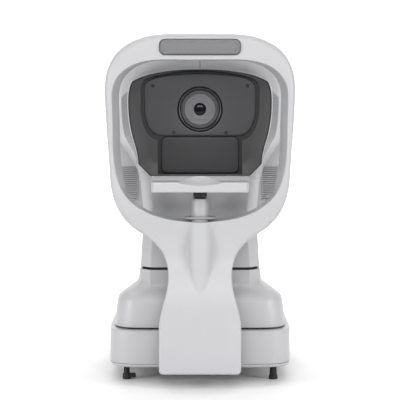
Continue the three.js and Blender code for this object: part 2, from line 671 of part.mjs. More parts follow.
function addWindow() {
  const outline = windowOutline();
  const middle = 355;
  const shape = (factor) => new THREE.Shape(scaled(outline, factor, factor, middle));
  const { front } = SNOUT;
  const frame = prism(shape(0.996), "y", [front + 0.8, front + 9]);
  const clear = new THREE.Shape(bezelOpening());
  add("window_bezel", cut(frame, prism(clear, "y", [front, front + 10])), "dark");
  const tubeHole = rod(LENS.ring + 1, "y", [front, front + 30], [0, 0, EYE_Z], 28);
  const backing = prism(shape(0.99), "y", [front + 9.3, front + 11.5]);
  add("window_well", cut(backing, tubeHole), "black");

  const half = new THREE.Path().moveTo(0, 424);
  half.bezierCurveTo(40, 424, 62, 420, 72, 413);
  half.quadraticCurveTo(76.5, 409, 76.5, 400);
  half.lineTo(76, 375);
  half.bezierCurveTo(75, 352, 66, 338, 50, 338.6);
  half.lineTo(0, 338.6);
  const plate = prism(new THREE.Shape(mirrored(half)), "y", [front + 4.5, front + 9]);
  add("measuring_face", cut(plate, tubeHole), "dark");
  const block = prism(roundedRect(-53.5, 53.5, 287, 338.2, 8), "y", [front + 5.5, front + 9]);
  add("lower_block", block, "black");
}

function addOptics() {
  const axis = [0, 0, EYE_Z];
  const { front } = SNOUT;
  const tube = rod(LENS.ring, "y", [front + 3, front + 16], axis, 28);
  const bore = rod(LENS.disc + GAP, "y", [front + 2, front + 17], axis, 28);
  add("lens_ring", cut(tube, bore), "black");
  const disc = rod(LENS.disc, "y", [front + 5.5, front + 11], axis, 28);
  const step = rod(LENS.inner, "y", [front + 5, front + 6.3], axis, 24);
  const eyehole = rod(LENS.hole, "y", [front, front + 15], axis, 20);
  add("lens_disc", cut(disc, step, eyehole), "dark");
  add("objective_lens", rod(LENS.hole - GAP, "y", [front + 7.5, front + 10.5], axis, 20), "glass");
  const barrel = rod(25, "y", [front + 16.3, -20], axis, 24);
  const hollow = rod(20, "y", [front + 15, -24], axis, 24);
  add("optical_tube", cut(barrel, hollow), "black");
}

function addHeadFrame() {
  const { half, y, wall, slack } = LIFT;
  const inner = half + slack;
  const outer = inner + wall;
  const sleeve = box([-outer, outer], [y - outer, y + outer], [162, 243]);
  const slot = box([-inner, inner], [y - inner, y + inner], [161, 240]);
  const plate = box([-70, 70], [-60, 90], [240, 246]);
  add("head_chassis", cut(join(sleeve, plate), slot), "cast");
  add("lift_rod", rod(5, "z", [155, 240 - GAP], [0, y, 0]), "steel");

  const deck = box([-55, 55], [-120, 40], [300, 306]);
  const legs = [-50, 42].map((x) => box([x, x + 8], [-56, 36], [246 + GAP, 301]));
  const cradles = [-110, -40].map((front) => box([-18, 18], [front, front + 12], [305, 358]));
  const clearance = rod(25 + GAP, "y", [-135, -10], [0, 0, EYE_Z], 24);
  add("optical_bench", cut(join(deck, ...legs, ...cradles), clearance), "cast");
}

function addRearPanel() {
  const { halfWidth, rear, bottom, top, corner } = HEAD;
  const edge = WALL + GAP;
  const side = halfWidth - edge;
  const outline = roundedRect(-side, side, bottom + edge, top - edge, corner - edge);
  const panel = prism(outline, "y", [rear - 3, rear]);
  const { pinY, pinZ } = DISPLAY;
  const lugs = [-1, 1].map((sign) => {
    const range = sign > 0 ? [60, 68] : [-68, -60];
    return join(box(range, [rear - 1, pinY], [pinZ - 6, pinZ + 6]), rod(6, "x", range, [0, pinY, pinZ]));
  });
  const pinBore = rod(2.3, "x", [-70, 70], [0, pinY, pinZ], 12);
  const door = box([-PRINTER.halfWidth + 3, PRINTER.halfWidth - 3], [rear - 5, rear + 5], [256, 300]);
  add("head_rear_panel", cut(join(panel, ...lugs), pinBore, door), "white");
  add("display_pin", rod(2, "x", [-68, 68], [0, pinY, pinZ], 12), "steel");
}

function addDisplay() {
  const { halfWidth, bottom, top, pinY, pinZ, thickness } = DISPLAY;
  const y0 = HEAD.rear + 1;
  const outline = roundedRect(-halfWidth, halfWidth, bottom, top, 8);
  const body = roundedPrism(outline, "y", [y0, y0 + thickness], 2);
  const knuckle = join(
    rod(6, "x", [-59.5, 59.5], [0, pinY, pinZ]),
    box([-59.5, 59.5], [pinY - 3, pinY + 4], [top - 4, pinZ]),
  );
  const bore = rod(2.3, "x", [-70, 70], [0, pinY, pinZ], 12);
  const screen = [halfWidth - 9, halfWidth - 8.7];
  const glassY = y0 + thickness;
  const seat = box([-screen[1], screen[1]], [glassY - 2.3, glassY + 3], [bottom + 11.7, top - 8.7]);
  add("display_housing", cut(join(body, knuckle), bore, seat), "white");
  const glass = box([-screen[0], screen[0]], [glassY - 2, glassY - 0.4], [bottom + 12, top - 9]);
  add("display_glass", glass, "glass");
}

function addPrinter() {
  const { halfWidth, bottom, top, y, z, roll, paper } = PRINTER;
  const rear = HEAD.rear;
  const side = halfWidth - 3.5;
  const tub = box([-side, side], [60, rear - 3.3], [bottom, top]);
  const room = box([-side + WALL, side - WALL], [63, rear + 5], [bottom + WALL, top - WALL]);
  const stubs = [-1, 1].map((sign) => {
    const range = sign > 0 ? [paper - 8, side - 1] : [-side + 1, -paper + 8];
    return rod(5, "x", range, [0, y, z], 12);
  });
  add("printer_housing", join(cut(tub, room), ...stubs), "dark");
  const reel = cut(rod(roll, "x", [-paper, paper], [0, y, z], 24), rod(5.8, "x", [-40, 40], [0, y, z]));
  add("paper_roll", reel, "paper");

  const flap = roundedPrism(
    roundedRect(-halfWidth, halfWidth, bottom + 1, top, 4), "y", [rear + GAP, rear + 4], 1,
  );
  add("printer_door", flap, "white");
}

addFaceFrame();
addChinRest();
addBase();
addPowerInlet();
addFeet();
addCarriage();
addStage();
addStageControls();
addJoystick();
addHeadShells();
addWindow();
addOptics();
addHeadFrame();
addRearPanel();
addDisplay();
addPrinter();

export default model;
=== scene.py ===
"""Looks of a table-top automatic refractor and keratometer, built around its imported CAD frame.

Sizes are in millimetres until new_object() turns them into metres. The table is at z = 0, the
patient sits at -Y and the operator at +Y.
"""
import json
import math

import bmesh
import bpy
import numpy as np
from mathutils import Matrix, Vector
from mathutils.geometry import delaunay_2d_cdt


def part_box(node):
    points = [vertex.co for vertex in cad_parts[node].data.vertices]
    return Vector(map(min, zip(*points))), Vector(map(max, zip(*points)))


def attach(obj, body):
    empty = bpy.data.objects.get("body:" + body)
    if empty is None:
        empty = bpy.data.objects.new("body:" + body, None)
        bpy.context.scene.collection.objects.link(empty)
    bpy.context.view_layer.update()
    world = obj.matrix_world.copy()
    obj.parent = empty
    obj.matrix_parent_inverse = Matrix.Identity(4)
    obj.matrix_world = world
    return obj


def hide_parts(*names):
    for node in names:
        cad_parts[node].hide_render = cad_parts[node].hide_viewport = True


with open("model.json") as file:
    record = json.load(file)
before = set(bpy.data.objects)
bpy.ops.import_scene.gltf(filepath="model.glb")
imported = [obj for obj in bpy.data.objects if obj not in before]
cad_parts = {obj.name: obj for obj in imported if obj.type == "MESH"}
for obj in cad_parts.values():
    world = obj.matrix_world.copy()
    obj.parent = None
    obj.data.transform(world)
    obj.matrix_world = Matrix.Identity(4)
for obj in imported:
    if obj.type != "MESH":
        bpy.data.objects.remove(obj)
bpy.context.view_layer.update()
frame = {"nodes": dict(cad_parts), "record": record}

MM = 0.001
SCENE = bpy.context.scene


def place(node):
    """Lowest and highest corner of a CAD node, in mm."""
    low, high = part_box(node)
    return np.array(low) / MM, np.array(high) / MM


def centre_of(node):
    """Centre of a CAD node, in mm."""
    return sum(place(node)) / 2


# ---- Sizes taken from the frame, in mm ----
RING_LOW, RING_HIGH = place("face_frame")
RING_FRONT = RING_LOW[1]
PAD_LOW, PAD_HIGH = place("forehead_pad")
POST_LOW, POST_HIGH = place("chin_post")
POST_Y = centre_of("chin_post")[1]
PLATE_LOW, PLATE_HIGH = place("chin_plate")
CUP_LOW, CUP_HIGH = place("chin_cup")
LENS_LOW, LENS_HIGH = place("lens_ring")
EYE_Z = centre_of("lens_ring")[2]
BEZEL_LOW, BEZEL_HIGH = place("window_bezel")
SNOUT_FRONT = place("head_shell_left")[0][1]
STICK_Y = float(centre_of("joystick_grip")[1])
STICK_Z = 143.0  # the joystick's pivot
WALL = 3.0
SEAM = 0.35  # half of the gap between the two head shells
PIN_BORE = 2.3
VENTS = ("vent_grille_left", "vent_grille_right")

# ---- The view and the room ----
VIEW_ANGLE = 15.04  # degrees across
VIEW_PITCH = 3.43  # degrees below level
VIEW_DISTANCE = 2.0  # metres in front of the ring
FLOOR_HALF = 1700


# ---- Outlines ----
def curve(start, *parts, steps=14):
    """A polyline through lines (x, y), quadratics (cx, cy, x, y) and cubics (c1, c2, end)."""
    points = [tuple(start)]
    for part in parts:
        a = np.array(points[-1], float)
        p = np.array(part, float).reshape(-1, 2)
        if len(p) == 1:
            points.append(tuple(p[0]))
            continue
        for t in np.linspace(0, 1, steps + 1)[1:]:
            s = 1 - t
            if len(p) == 2:
                q = s * s * a + 2 * s * t * p[0] + t * t * p[1]
            else:
                q = s**3 * a + 3 * s * s * t * p[0] + 3 * s * t * t * p[1] + t**3 * p[2]
            points.append(tuple(q))
    return np.array(points, float)


def mirrored(half):
    """A half outline from the middle back to the middle, completed to a counter-clockwise loop."""
    other = [(-x, y) for x, y in half[::-1] if abs(x) > 1e-6]
    return counter_clockwise(np.vstack([half, other]))


def counter_clockwise(points):
    x, y = points[:, 0], points[:, 1]
    area = np.sum(x * np.roll(y, -1) - np.roll(x, -1) * y)
    return points if area > 0 else points[::-1]


def densify(points, spacing):
    """The same loop with no side longer than the spacing."""
    out = []
    for a, b in zip(points, np.roll(points, -1, axis=0)):
        n = max(1, math.ceil(np.hypot(*(b - a)) / spacing))
        out += [a + (b - a) * i / n for i in range(n)]
    return np.array(out)


def inset(points, distance):
    """A loop moved to its left by a distance, or by one for each point."""
    before = points - np.roll(points, 1, axis=0)
    after = np.roll(points, -1, axis=0) - points
    normals = []
    for edge in (before, after):
        length = np.maximum(np.hypot(edge[:, 0], edge[:, 1]), 1e-9)
        normals.append(np.stack([-edge[:, 1] / length, edge[:, 0] / length], axis=1))
    total = normals[0] + normals[1]
    dot = np.maximum(1 + np.sum(normals[0] * normals[1], axis=1), 0.35)
    return points + total / dot[:, None] * np.reshape(distance, (-1, 1))


def rounded_rect(x0, x1, y0, y1, radius, steps=8):
    points = []
    for cx, cy, first in (
        (x1 - radius, y0 + radius, -90),
        (x1 - radius, y1 - radius, 0),
        (x0 + radius, y1 - radius, 90),
        (x0 + radius, y0 + radius, 180),
    ):
        for i in range(steps + 1):
            a = math.radians(first + 90 * i / steps)
            points.append((cx + radius * math.cos(a), cy + radius * math.sin(a)))
    return np.array(points)


def front_rect(low, high, radius, grow=0.0, steps=8):
    """The rounded outline of a box seen from the front."""
    return rounded_rect(low[0] - grow, high[0] + grow, low[2] - grow, high[2] + grow, radius,
                        steps)


def plan_rect(low, high, radius, steps=8):
    """The rounded outline of a box seen from above."""
    return rounded_rect(low[0], high[0], low[1], high[1], radius, steps)


def ellipse(cx, cy, rx, ry, count=72):
    a = np.linspace(0, 2 * math.pi, count, endpoint=False)
    return np.stack([cx + rx * np.cos(a), cy + ry * np.sin(a)], axis=1)


def soft_box(half_width, front, rear, count=128, power=9.0):
    """A box with softly swelling sides and round corners, in plan."""
    a = np.linspace(0, 2 * math.pi, count, endpoint=False)
    cos, sin = np.cos(a), np.sin(a)
    x = half_width * np.sign(cos) * np.abs(cos) ** (2 / power)
    y = np.sign(sin) * np.abs(sin) ** (2 / power)
    return np.stack([x, (front + rear) / 2 + (rear - front) / 2 * y], axis=1)


def soft_corner(a, b, c, radius, steps=3):
    """Points of the bend that replaces the corner b between a and c."""
    reach = min(radius, 0.45 * np.hypot(*(b - a)), 0.45 * np.hypot(*(c - b)))
    start = b + (a - b) / np.hypot(*(a - b)) * reach
    end = b + (c - b) / np.hypot(*(c - b)) * reach
    shares = np.linspace(0, 1, steps + 1)
    return [(1 - t) ** 2 * start + 2 * t * (1 - t) * b + t * t * end for t in shares]


def soft_corners(profile, radius):
    """An open polyline with its inner corners rounded."""
    p = np.array(profile, float)
    bends = [soft_corner(*corner, radius) for corner in zip(p[:-2], p[1:-1], p[2:])]
    return np.vstack([p[:1], *bends, p[-1:]])


def smooth_min(a, b, reach):
    h = np.clip(0.5 + 0.5 * (b - a) / reach, 0, 1)
    return b + (a - b) * h - reach * h * (1 - h)


def smooth_step(value, low, high):
    t = np.clip((value - low) / (high - low), 0, 1)
    return t * t * (3 - 2 * t)


# ---- Meshes ----
def new_object(name, points, faces):
    mesh = bpy.data.meshes.new(name)
    mesh.from_pydata([tuple(float(c) * MM for c in p) for p in points], [], faces)
    obj = bpy.data.objects.new(name, mesh)
    SCENE.collection.objects.link(obj)
    clean(obj)
    return obj


def edit(obj, change):
    """Runs a change on an object's mesh."""
    bm = bmesh.new()
    bm.from_mesh(obj.data)
    change(bm)
    bm.to_mesh(obj.data)
    bm.free()


def clean(obj, merge=1e-6):
    """Merges points that lie together and turns all faces outwards."""
    def change(bm):
        bmesh.ops.remove_doubles(bm, verts=bm.verts, dist=merge)
        bmesh.ops.recalc_face_normals(bm, faces=bm.faces)

    edit(obj, change)


def shade(obj, angle=30):
    """Smooth shading, with edges sharper than the angle kept crisp."""
    limit = math.radians(angle)

    def change(bm):
        for edge in bm.edges:
            edge.smooth = len(edge.link_faces) == 2 and edge.calc_face_angle(0) <= limit
        for face in bm.faces:
            face.smooth = True

    edit(obj, change)


def upright(u, v, w):
    """Drawn in x and z, with its height towards the patient."""
    return np.stack([u, -w, v], axis=-1)


def flat(u, v, w):
    """Drawn in x and y, with its height upwards."""
    return np.stack([u, v, w], axis=-1)


def quarter(radius, steps=4):
    """Rows of a fillet as (inset, drop) shares of a radius, from the flat face to the wall."""
    angles = np.linspace(0, math.pi / 2, steps + 1)
    return [(radius * (1 - math.sin(a)), radius * (1 - math.cos(a))) for a in angles]


def inside(points, loop):
    """Which points lie in a loop."""
    x, y = points[:, 0], points[:, 1]
    found = np.zeros(len(points), bool)
    for (ax, ay), (bx, by) in zip(loop, np.roll(loop, -1, axis=0)):
        crosses = (ay > y) != (by > y)
        with np.errstate(divide="ignore", invalid="ignore"):
            found ^= crosses & (x < (bx - ax) * (y - ay) / (by - ay) + ax)
    return found


def fill(loops, spacing, fine=None):
    """Triangles inside the first loop and outside the others, with even points in between."""
    border = np.vstack(loops)
    low, high = border.min(0), border.max(0)
    grids = [(spacing, low, high)]
    if fine is not None:
        grids.append(fine)
    extra = []
    for step, a, b in grids:
        xs, ys = np.arange(a[0] + step / 2, b[0], step), np.arange(a[1] + step / 2, b[1], step)
        mesh = np.stack(np.meshgrid(xs, ys), axis=-1).reshape(-1, 2)
        if fine is not None and step == spacing:
            within = np.all((mesh > fine[1]) & (mesh < fine[2]), axis=1)
            mesh = mesh[~within]
        keep = inside(mesh, loops[0])
        for hole in loops[1:]:
            keep &= ~inside(mesh, hole)
        mesh = mesh[keep]
        far = np.ones(len(mesh), bool)
        for p in border:
            far &= np.hypot(mesh[:, 0] - p[0], mesh[:, 1] - p[1]) > step * 0.6
        extra.append(mesh[far])
    points = np.vstack([border, *extra])
    edges, first = [], 0
    for loop in loops:
        n = len(loop)
        edges += [(first + i, first + (i + 1) % n) for i in range(n)]
        first += n
    made = delaunay_2d_cdt([Vector(p) for p in points], edges, [], 1, 1e-5)
    verts = np.array([tuple(p) for p in made[0]])
    origin = [ids[0] if ids else -1 for ids in made[3]]
    faces = made[2]
    middles = np.array([verts[list(f)].mean(0) for f in faces])
    keep = inside(middles, loops[0])
    for hole in loops[1:]:
        keep &= ~inside(middles, hole)
    return verts, origin, [f for f, k in zip(faces, keep) if k]


def slab(name, loops, top, bottom, lay=upright, spacing=5.0, fine=None):
    """A plate between two height functions of its drawing, with its own edge rows on each loop.

    loops: [(top outline, bottom outline, top rows, bottom rows)], the outside first; a row is
    (inset, drop), from the flat face to the wall, and each may hold one value for each point.
    """
    rings, points, faces, start = [], [], [], 0
    for upper, lower, top_rows, bottom_rows in loops:
        rows = []
        for shift, drop in top_rows:
            ring = inset(upper, shift)
            rows.append((ring, top(ring[:, 0], ring[:, 1]) - drop))
        for shift, drop in reversed(bottom_rows):
            ring = inset(lower, shift)
            rows.append((ring, bottom(ring[:, 0], ring[:, 1]) + drop))
        n = len(upper)
        for k, (ring, height) in enumerate(rows):
            points.append(lay(ring[:, 0], ring[:, 1], height))
            if k:
                a, b = start + (k - 1) * n, start + k * n
                faces += [(a + i, a + (i + 1) % n, b + (i + 1) % n, b + i) for i in range(n)]
        rings.append((rows[0][0], start, rows[-1][0], start + (len(rows) - 1) * n))
        start += n * len(rows)
    for side, height in ((0, top), (2, bottom)):
        verts, origin, triangles = fill([r[side] for r in rings], spacing, fine)
        border = []
        for ring in rings:
            border += [ring[side + 1] + i for i in range(len(ring[side]))]
        index, added = [], []
        for p, source in zip(verts, origin):
            if 0 <= source < len(border):
                index.append(border[source])
            else:
                index.append(start + len(added))
                added.append(p)
        if added:
            added = np.array(added)
            points.append(lay(added[:, 0], added[:, 1], height(added[:, 0], added[:, 1])))
            start += len(added)
        faces += [tuple(index[i] for i in t) for t in triangles]
    return new_object(name, np.vstack(points), faces)


def level(value):
    return lambda u, v: np.full(np.shape(u), float(value))


def plate(name, outline, front, back, round_front=1.0, round_back=0.5, holes=(), spacing=5.0,
          lay=upright, step=3.0):
    """A flat plate; front and back are y for an upright one and z for a flat one."""
    sign = -1 if lay is upright else 1
    outline = densify(counter_clockwise(outline), step)
    loops = [(outline, outline, quarter(round_front), quarter(round_back))]
    for hole, hole_round in holes:
        hole = densify(counter_clockwise(hole), step)[::-1]
        loops.append((hole, hole, quarter(hole_round), quarter(min(hole_round, round_back))))
    return slab(name, loops, level(sign * front), level(sign * back), lay, spacing)


def loft(name, axis, sections):
    """One closed skin through outlines with the same number of points: [(level, outline)]."""
    points, faces, n = [], [], len(sections[0][1])
    for k, (at, ring) in enumerate(sections):
        depth = np.full(n, float(at))
        order = {"y": (ring[:, 0], depth, ring[:, 1]), "z": (ring[:, 0], ring[:, 1], depth),
                 "x": (depth, ring[:, 0], ring[:, 1])}[axis]
        points.append(np.stack(order, axis=1))
        if k:
            a, b = (k - 1) * n, k * n
            faces += [(a + i, a + (i + 1) % n, b + (i + 1) % n, b + i) for i in range(n)]
    faces.append(tuple(range(n)))
    faces.append(tuple((len(sections) - 1) * n + i for i in range(n)))
    return new_object(name, np.vstack(points), faces)


def prism(name, axis, outline, low, high):
    return loft(name, axis, [(low, outline), (high, outline)])


def rod(axis, u, v, radius, low, high, count=72):
    """A round bar along an axis, to cut a bore with."""
    return prism("rod", axis, ellipse(u, v, radius, radius, count), low, high)


def block(name, low, high, round_by=0.8):
    """A box with rounded corners and edges; its corners have to be rounder than its edges."""
    outline = plan_rect(low, high, 1.3 * max(round_by, 0.3), 3)
    loops = [(outline, outline, quarter(round_by, 3), quarter(round_by, 3))]
    return slab(name, loops, level(high[2]), level(low[2]), flat, 30)


def turned(name, profile, centre, axis="z", sides=72, soften=0.0):
    """A profile of (radius, height) turned round an axis through a point."""
    profile = soft_corners(profile, soften) if soften else np.array(profile, float)
    closed = np.allclose(profile[0], profile[-1])
    if closed:
        profile = profile[:-1]
    angles = np.linspace(0, 2 * math.pi, sides, endpoint=False)
    points, faces, rows = [], [], len(profile)
    for radius, height in profile:
        for a in angles:
            u, v = radius * math.cos(a), radius * math.sin(a)
            spot = {"z": (u, v, height), "y": (u, height, v), "x": (height, u, v)}[axis]
            points.append(np.add(spot, centre))
    for k in range(rows if closed else rows - 1):
        a, b = k * sides, (k + 1) % rows * sides
        for i in range(sides):
            j = (i + 1) % sides
            faces.append((a + i, a + j, b + j, b + i))
    obj = new_object(name, points, faces)
    edit(obj, lambda bm: bmesh.ops.dissolve_degenerate(bm, edges=bm.edges, dist=1e-7))
    return obj


def boolean(target, operation, *tools):
    """Cuts or joins closed meshes; an open one would be passed over without a message."""
    for tool in tools:
        change = target.modifiers.new("cut", "BOOLEAN")
        change.operation = operation
        change.solver = "MANIFOLD"
        change.object = tool
        bpy.context.view_layer.objects.active = target
        bpy.ops.object.modifier_apply(modifier=change.name)
        bpy.data.objects.remove(tool)
    return target


def cut(target, *tools):
    return boolean(target, "DIFFERENCE", *tools)


def join(target, *tools):
    return boolean(target, "UNION", *tools)


def copy_of(obj, name):
    other = obj.copy()
    other.data = obj.data.copy()
    other.name = name
    SCENE.collection.objects.link(other)
    return other


# ---- Materials ----
class Nodes:
    """A short way to write a node tree."""

    def __init__(self, name):
        self.material = bpy.data.materials.new(name)
        self.material.use_nodes = True
        self.tree = self.material.node_tree
        self.shader = self.tree.nodes["Principled BSDF"]
        self.where = self.add("TexCoord").outputs["Object"]

    def add(self, kind, settings=(), **values):
        node = self.tree.nodes.new("ShaderNode" + kind)
        for key, value in dict(settings).items():
            setattr(node, key, value)
        for key, value in values.items():
            self.put(node.inputs[key.replace("_", " ")], value)
        return node

    def put(self, socket, value):
        if isinstance(value, bpy.types.NodeSocket):
            self.tree.links.new(value, socket)
        else:
            socket.default_value = value

    def math(self, operation, a, b=0.0, c=0.0):
        node = self.add("Math", {"operation": operation})
        for socket, value in zip(node.inputs, (a, b, c)):
            self.put(socket, value)
        return node.outputs[0]

    def noise(self, scale, detail=3.0, stretch=None, rough=0.5):
        where = self.where
        if stretch:
            where = self.add("Mapping", Vector=where, Scale=stretch).outputs[0]
        node = self.add("TexNoise", Vector=where, Scale=scale, Detail=detail, Roughness=rough)
        return node.outputs["Fac"]

    def ramp(self, value, low, high, to_low, to_high):
        node = self.add("MapRange", Value=value, From_Min=low, From_Max=high, To_Min=to_low,
                        To_Max=to_high)
        return node.outputs[0]

    def mix(self, share, a, b):
        node = self.add("Mix", {"data_type": "RGBA"})
        self.put(node.inputs[0], share)
        self.put(node.inputs[6], a)
        self.put(node.inputs[7], b)
        return node.outputs[2]

    def bump(self, height, distance, strength=1.0, after=None):
        node = self.add("Bump", Height=height, Distance=distance, Strength=strength)
        if after is not None:
            self.put(node.inputs["Normal"], after)
        return node.outputs[0]

    def edges(self, radius):
        """Normals that round the edges, and a mask that is 1 on them."""
        bevel = self.add("Bevel", {"samples": 4}, Radius=radius).outputs[0]
        plain = self.add("NewGeometry").outputs["Normal"]
        node = self.add("VectorMath", {"operation": "DOT_PRODUCT"})
        self.put(node.inputs[0], bevel)
        self.put(node.inputs[1], plain)
        return bevel, self.ramp(node.outputs["Value"], 0.82, 0.985, 1.0, 0.0)

    def occlusion_shade(self, reach):
        """Ambient occlusion for painted shade: 1 on open faces, falling towards 0 in corners and
        recesses.
        """
        node = self.add("AmbientOcclusion", {"samples": 6}, Distance=reach)
        return node.outputs["AO"]

    def part(self, mask, strength, a, b):
        """Mixes b into a where the mask is, by at most the strength."""
        return self.mix(self.math("MULTIPLY", mask, strength), a, b)

    def finish(self, colour, rough, normal=None, **constants):
        """Joins the shader's main sockets and sets others to fixed values."""
        shader = self.shader.inputs
        self.put(shader["Base Color"], colour)
        self.put(shader["Roughness"], rough)
        if normal is not None:
            self.put(shader["Normal"], normal)
        for name, value in constants.items():
            shader[name.replace("_", " ")].default_value = value
        return self.material


def tint(rgb, factor):
    return (*(min(1.0, c * factor) for c in rgb), 1.0)


def moulded(name, rgb, rough, grain=0.0006, depth=0.00003, mottle=0.03, edge_wear_and_highlight=1.06,
            edge=0.0007, speckle=0.0, shaded=0.0):
    """Moulded or painted plastic: fine grain, slow shifts of shade, polished edges made paler as
    wear and painted highlight, and painted shade in corners and recesses when shaded is set.
    """
    n = Nodes(name)
    slow = n.noise(9.0, 4.0)
    cloud = n.noise(60.0, 3.0)
    fine = n.noise(1 / grain, 2.0, rough=0.6)
    normal, mask = n.edges(edge)
    colour = n.mix(slow, tint(rgb, 1 - mottle), tint(rgb, 1 + mottle))
    colour = n.part(cloud, 0.35, colour, tint(rgb, 1 - 0.6 * mottle))
    if speckle:
        dots = n.ramp(n.noise(1 / (grain * 1.7), 1.0), 0.62, 0.7, 0.0, speckle)
        colour = n.mix(dots, colour, tint(rgb, 1.7))
    # Paler edges: wear, and a painted highlight along edges and ridges.
    colour = n.part(mask, 0.55, colour, tint(rgb, edge_wear_and_highlight))
    # Painted shade: the colour darkens in corners and recesses, from ambient occlusion.
    if shaded:
        unshaded_share = n.ramp(n.occlusion_shade(0.06), 0.15, 0.85, 1 - shaded, 1.0)
        colour = n.mix(unshaded_share, (0.0, 0.0, 0.0, 1.0), colour)
    uneven = n.math("MULTIPLY_ADD", cloud, 0.12, rough - 0.06)
    uneven = n.math("MULTIPLY_ADD", fine, 0.08, n.math("SUBTRACT", uneven, 0.04))
    return n.finish(colour, n.math("MULTIPLY_ADD", mask, -0.08, uneven),
                    n.bump(fine, depth, 0.6, normal), Specular_IOR_Level=0.5)


def metal(name, rgb, rough, stretch):
    """Ground or brushed metal: fine lines along one way, with smears and bright edges."""
    n = Nodes(name)
    lines = n.noise(2000.0, 3.0, stretch)
    smears = n.noise(28.0, 4.0)
    normal, mask = n.edges(0.0005)
    colour = n.mix(lines, tint(rgb, 0.9), tint(rgb, 1.08))
    colour = n.part(mask, 0.7, colour, tint(rgb, 1.2))
    uneven = n.math("MULTIPLY_ADD", smears, 0.14, rough - 0.07)
    return n.finish(colour, n.math("MULTIPLY_ADD", lines, 0.1, uneven),
                    n.bump(lines, 0.00002, 0.5, normal), Metallic=1.0)


def cast_metal(name):
    """Cast alloy: a pebbled skin with darker pores."""
    n = Nodes(name)
    rgb = (0.36, 0.37, 0.38)
    pebbles = n.add("TexVoronoi", Vector=n.where, Scale=700.0).outputs["Distance"]
    normal, mask = n.edges(0.0006)
    colour = n.mix(n.noise(45.0, 4.0), tint(rgb, 0.85), tint(rgb, 1.15))
    colour = n.part(mask, 0.6, colour, tint(rgb, 1.6))
    return n.finish(colour, n.ramp(pebbles, 0.0, 0.8, 0.62, 0.46),
                    n.bump(pebbles, 0.00012, 0.5, normal), Metallic=0.9)


def silicone(name):
    """Grey silicone: matt, with a fine pebble and a dusty bloom on what stands proud."""
    n = Nodes(name)
    rgb = (0.160, 0.160, 0.165)
    pebbles = n.add("TexVoronoi", Vector=n.where, Scale=1300.0).outputs["Distance"]
    cloud = n.noise(70.0, 4.0)
    normal, mask = n.edges(0.0012)
    colour = n.mix(cloud, tint(rgb, 0.93), tint(rgb, 1.07))
    colour = n.part(mask, 0.45, colour, tint(rgb, 1.28))
    return n.finish(colour, n.ramp(cloud, 0.2, 0.8, 0.56, 0.68),
                    n.bump(pebbles, 0.00005, 0.5, normal), Sheen_Weight=0.15,
                    Sheen_Roughness=0.5)


def rubber(name):
    """Black rubber with a grey bloom and a coarse grain."""
    n = Nodes(name)
    fine = n.noise(1500.0, 3.0)
    bloom = n.noise(120.0, 4.0)
    normal, mask = n.edges(0.0006)
    colour = n.mix(bloom, (0.008, 0.008, 0.009, 1), (0.026, 0.026, 0.027, 1))
    colour = n.part(mask, 0.5, colour, (0.06, 0.06, 0.06, 1))
    return n.finish(colour, n.ramp(bloom, 0.2, 0.8, 0.62, 0.85),
                    n.bump(fine, 0.00006, 0.6, normal))


def distance_from(n, axes, centre):
    """Distance from a line along the third axis, in metres."""
    split = n.add("SeparateXYZ", Vector=n.where)
    squares = []
    for axis, value in zip(axes, centre):
        gap = n.math("SUBTRACT", split.outputs[axis], value)
        squares.append(n.math("MULTIPLY", gap, gap))
    return n.math("SQRT", n.math("ADD", *squares))


def ringed(name, rgb, rough, pitch, depth):
    """Turned face round the objective: concentric tool lines on a satin ground."""
    n = Nodes(name)
    radius = distance_from(n, (0, 2), (0.0, EYE_Z * MM))
    rings = n.math("SINE", n.math("MULTIPLY", radius, 2 * math.pi / pitch))
    cloud = n.noise(150.0, 3.0)
    normal, mask = n.edges(0.0004)
    colour = n.mix(n.ramp(rings, -1, 1, 0, 1), tint(rgb, 0.88), tint(rgb, 1.12))
    colour = n.part(cloud, 0.3, colour, tint(rgb, 0.85))
    colour = n.part(mask, 0.5, colour, tint(rgb, 1.7))
    return n.finish(colour, n.math("MULTIPLY_ADD", cloud, 0.12, rough - 0.06),
                    n.bump(rings, depth, 0.5, normal))


def glass(name, rgb, rough, smudge):
    """Coated dark glass with faint smudges."""
    n = Nodes(name)
    streak = n.noise(90.0, 5.0, (1.0, 1.0, 0.25))
    colour = n.mix(n.noise(35.0, 4.0), tint(rgb, 0.8), tint(rgb, 1.25))
    return n.finish(colour, n.ramp(streak, 0.35, 0.75, rough, rough + smudge),
                    n.bump(streak, 0.000004, 0.4), Specular_IOR_Level=0.25)


def board(name):
    """Circuit board: green solder mask with paler traces."""
    n = Nodes(name)
    bricks = n.add("TexBrick", Vector=n.where, Scale=60.0, Mortar_Size=0.04,
                   Color1=(0.012, 0.085, 0.035, 1), Color2=(0.014, 0.1, 0.042, 1),
                   Mortar=(0.05, 0.2, 0.09, 1))
    return n.finish(bricks.outputs["Color"], n.ramp(n.noise(200.0), 0.2, 0.8, 0.3, 0.5),
                    n.bump(bricks.outputs["Fac"], 0.00005, 0.6))


def paper(name):
    """Thermal paper: fibres, and wound layers on the roll's ends."""
    n = Nodes(name)
    fibres = n.noise(900.0, 5.0, (0.3, 1.0, 1.0))
    radius = distance_from(n, (1, 2), centre_of("paper_roll")[1:] * MM)
    layers = n.math("SINE", n.math("MULTIPLY", radius, 2 * math.pi / 0.0007))
    ground = n.mix(fibres, (0.78, 0.77, 0.73, 1), (0.9, 0.89, 0.86, 1))
    colour = n.mix(n.ramp(layers, -1, 1, 0, 0.25), ground, (0.55, 0.54, 0.5, 1))
    return n.finish(colour, n.ramp(fibres, 0.2, 0.8, 0.8, 0.95), n.bump(fibres, 0.00003, 0.5))


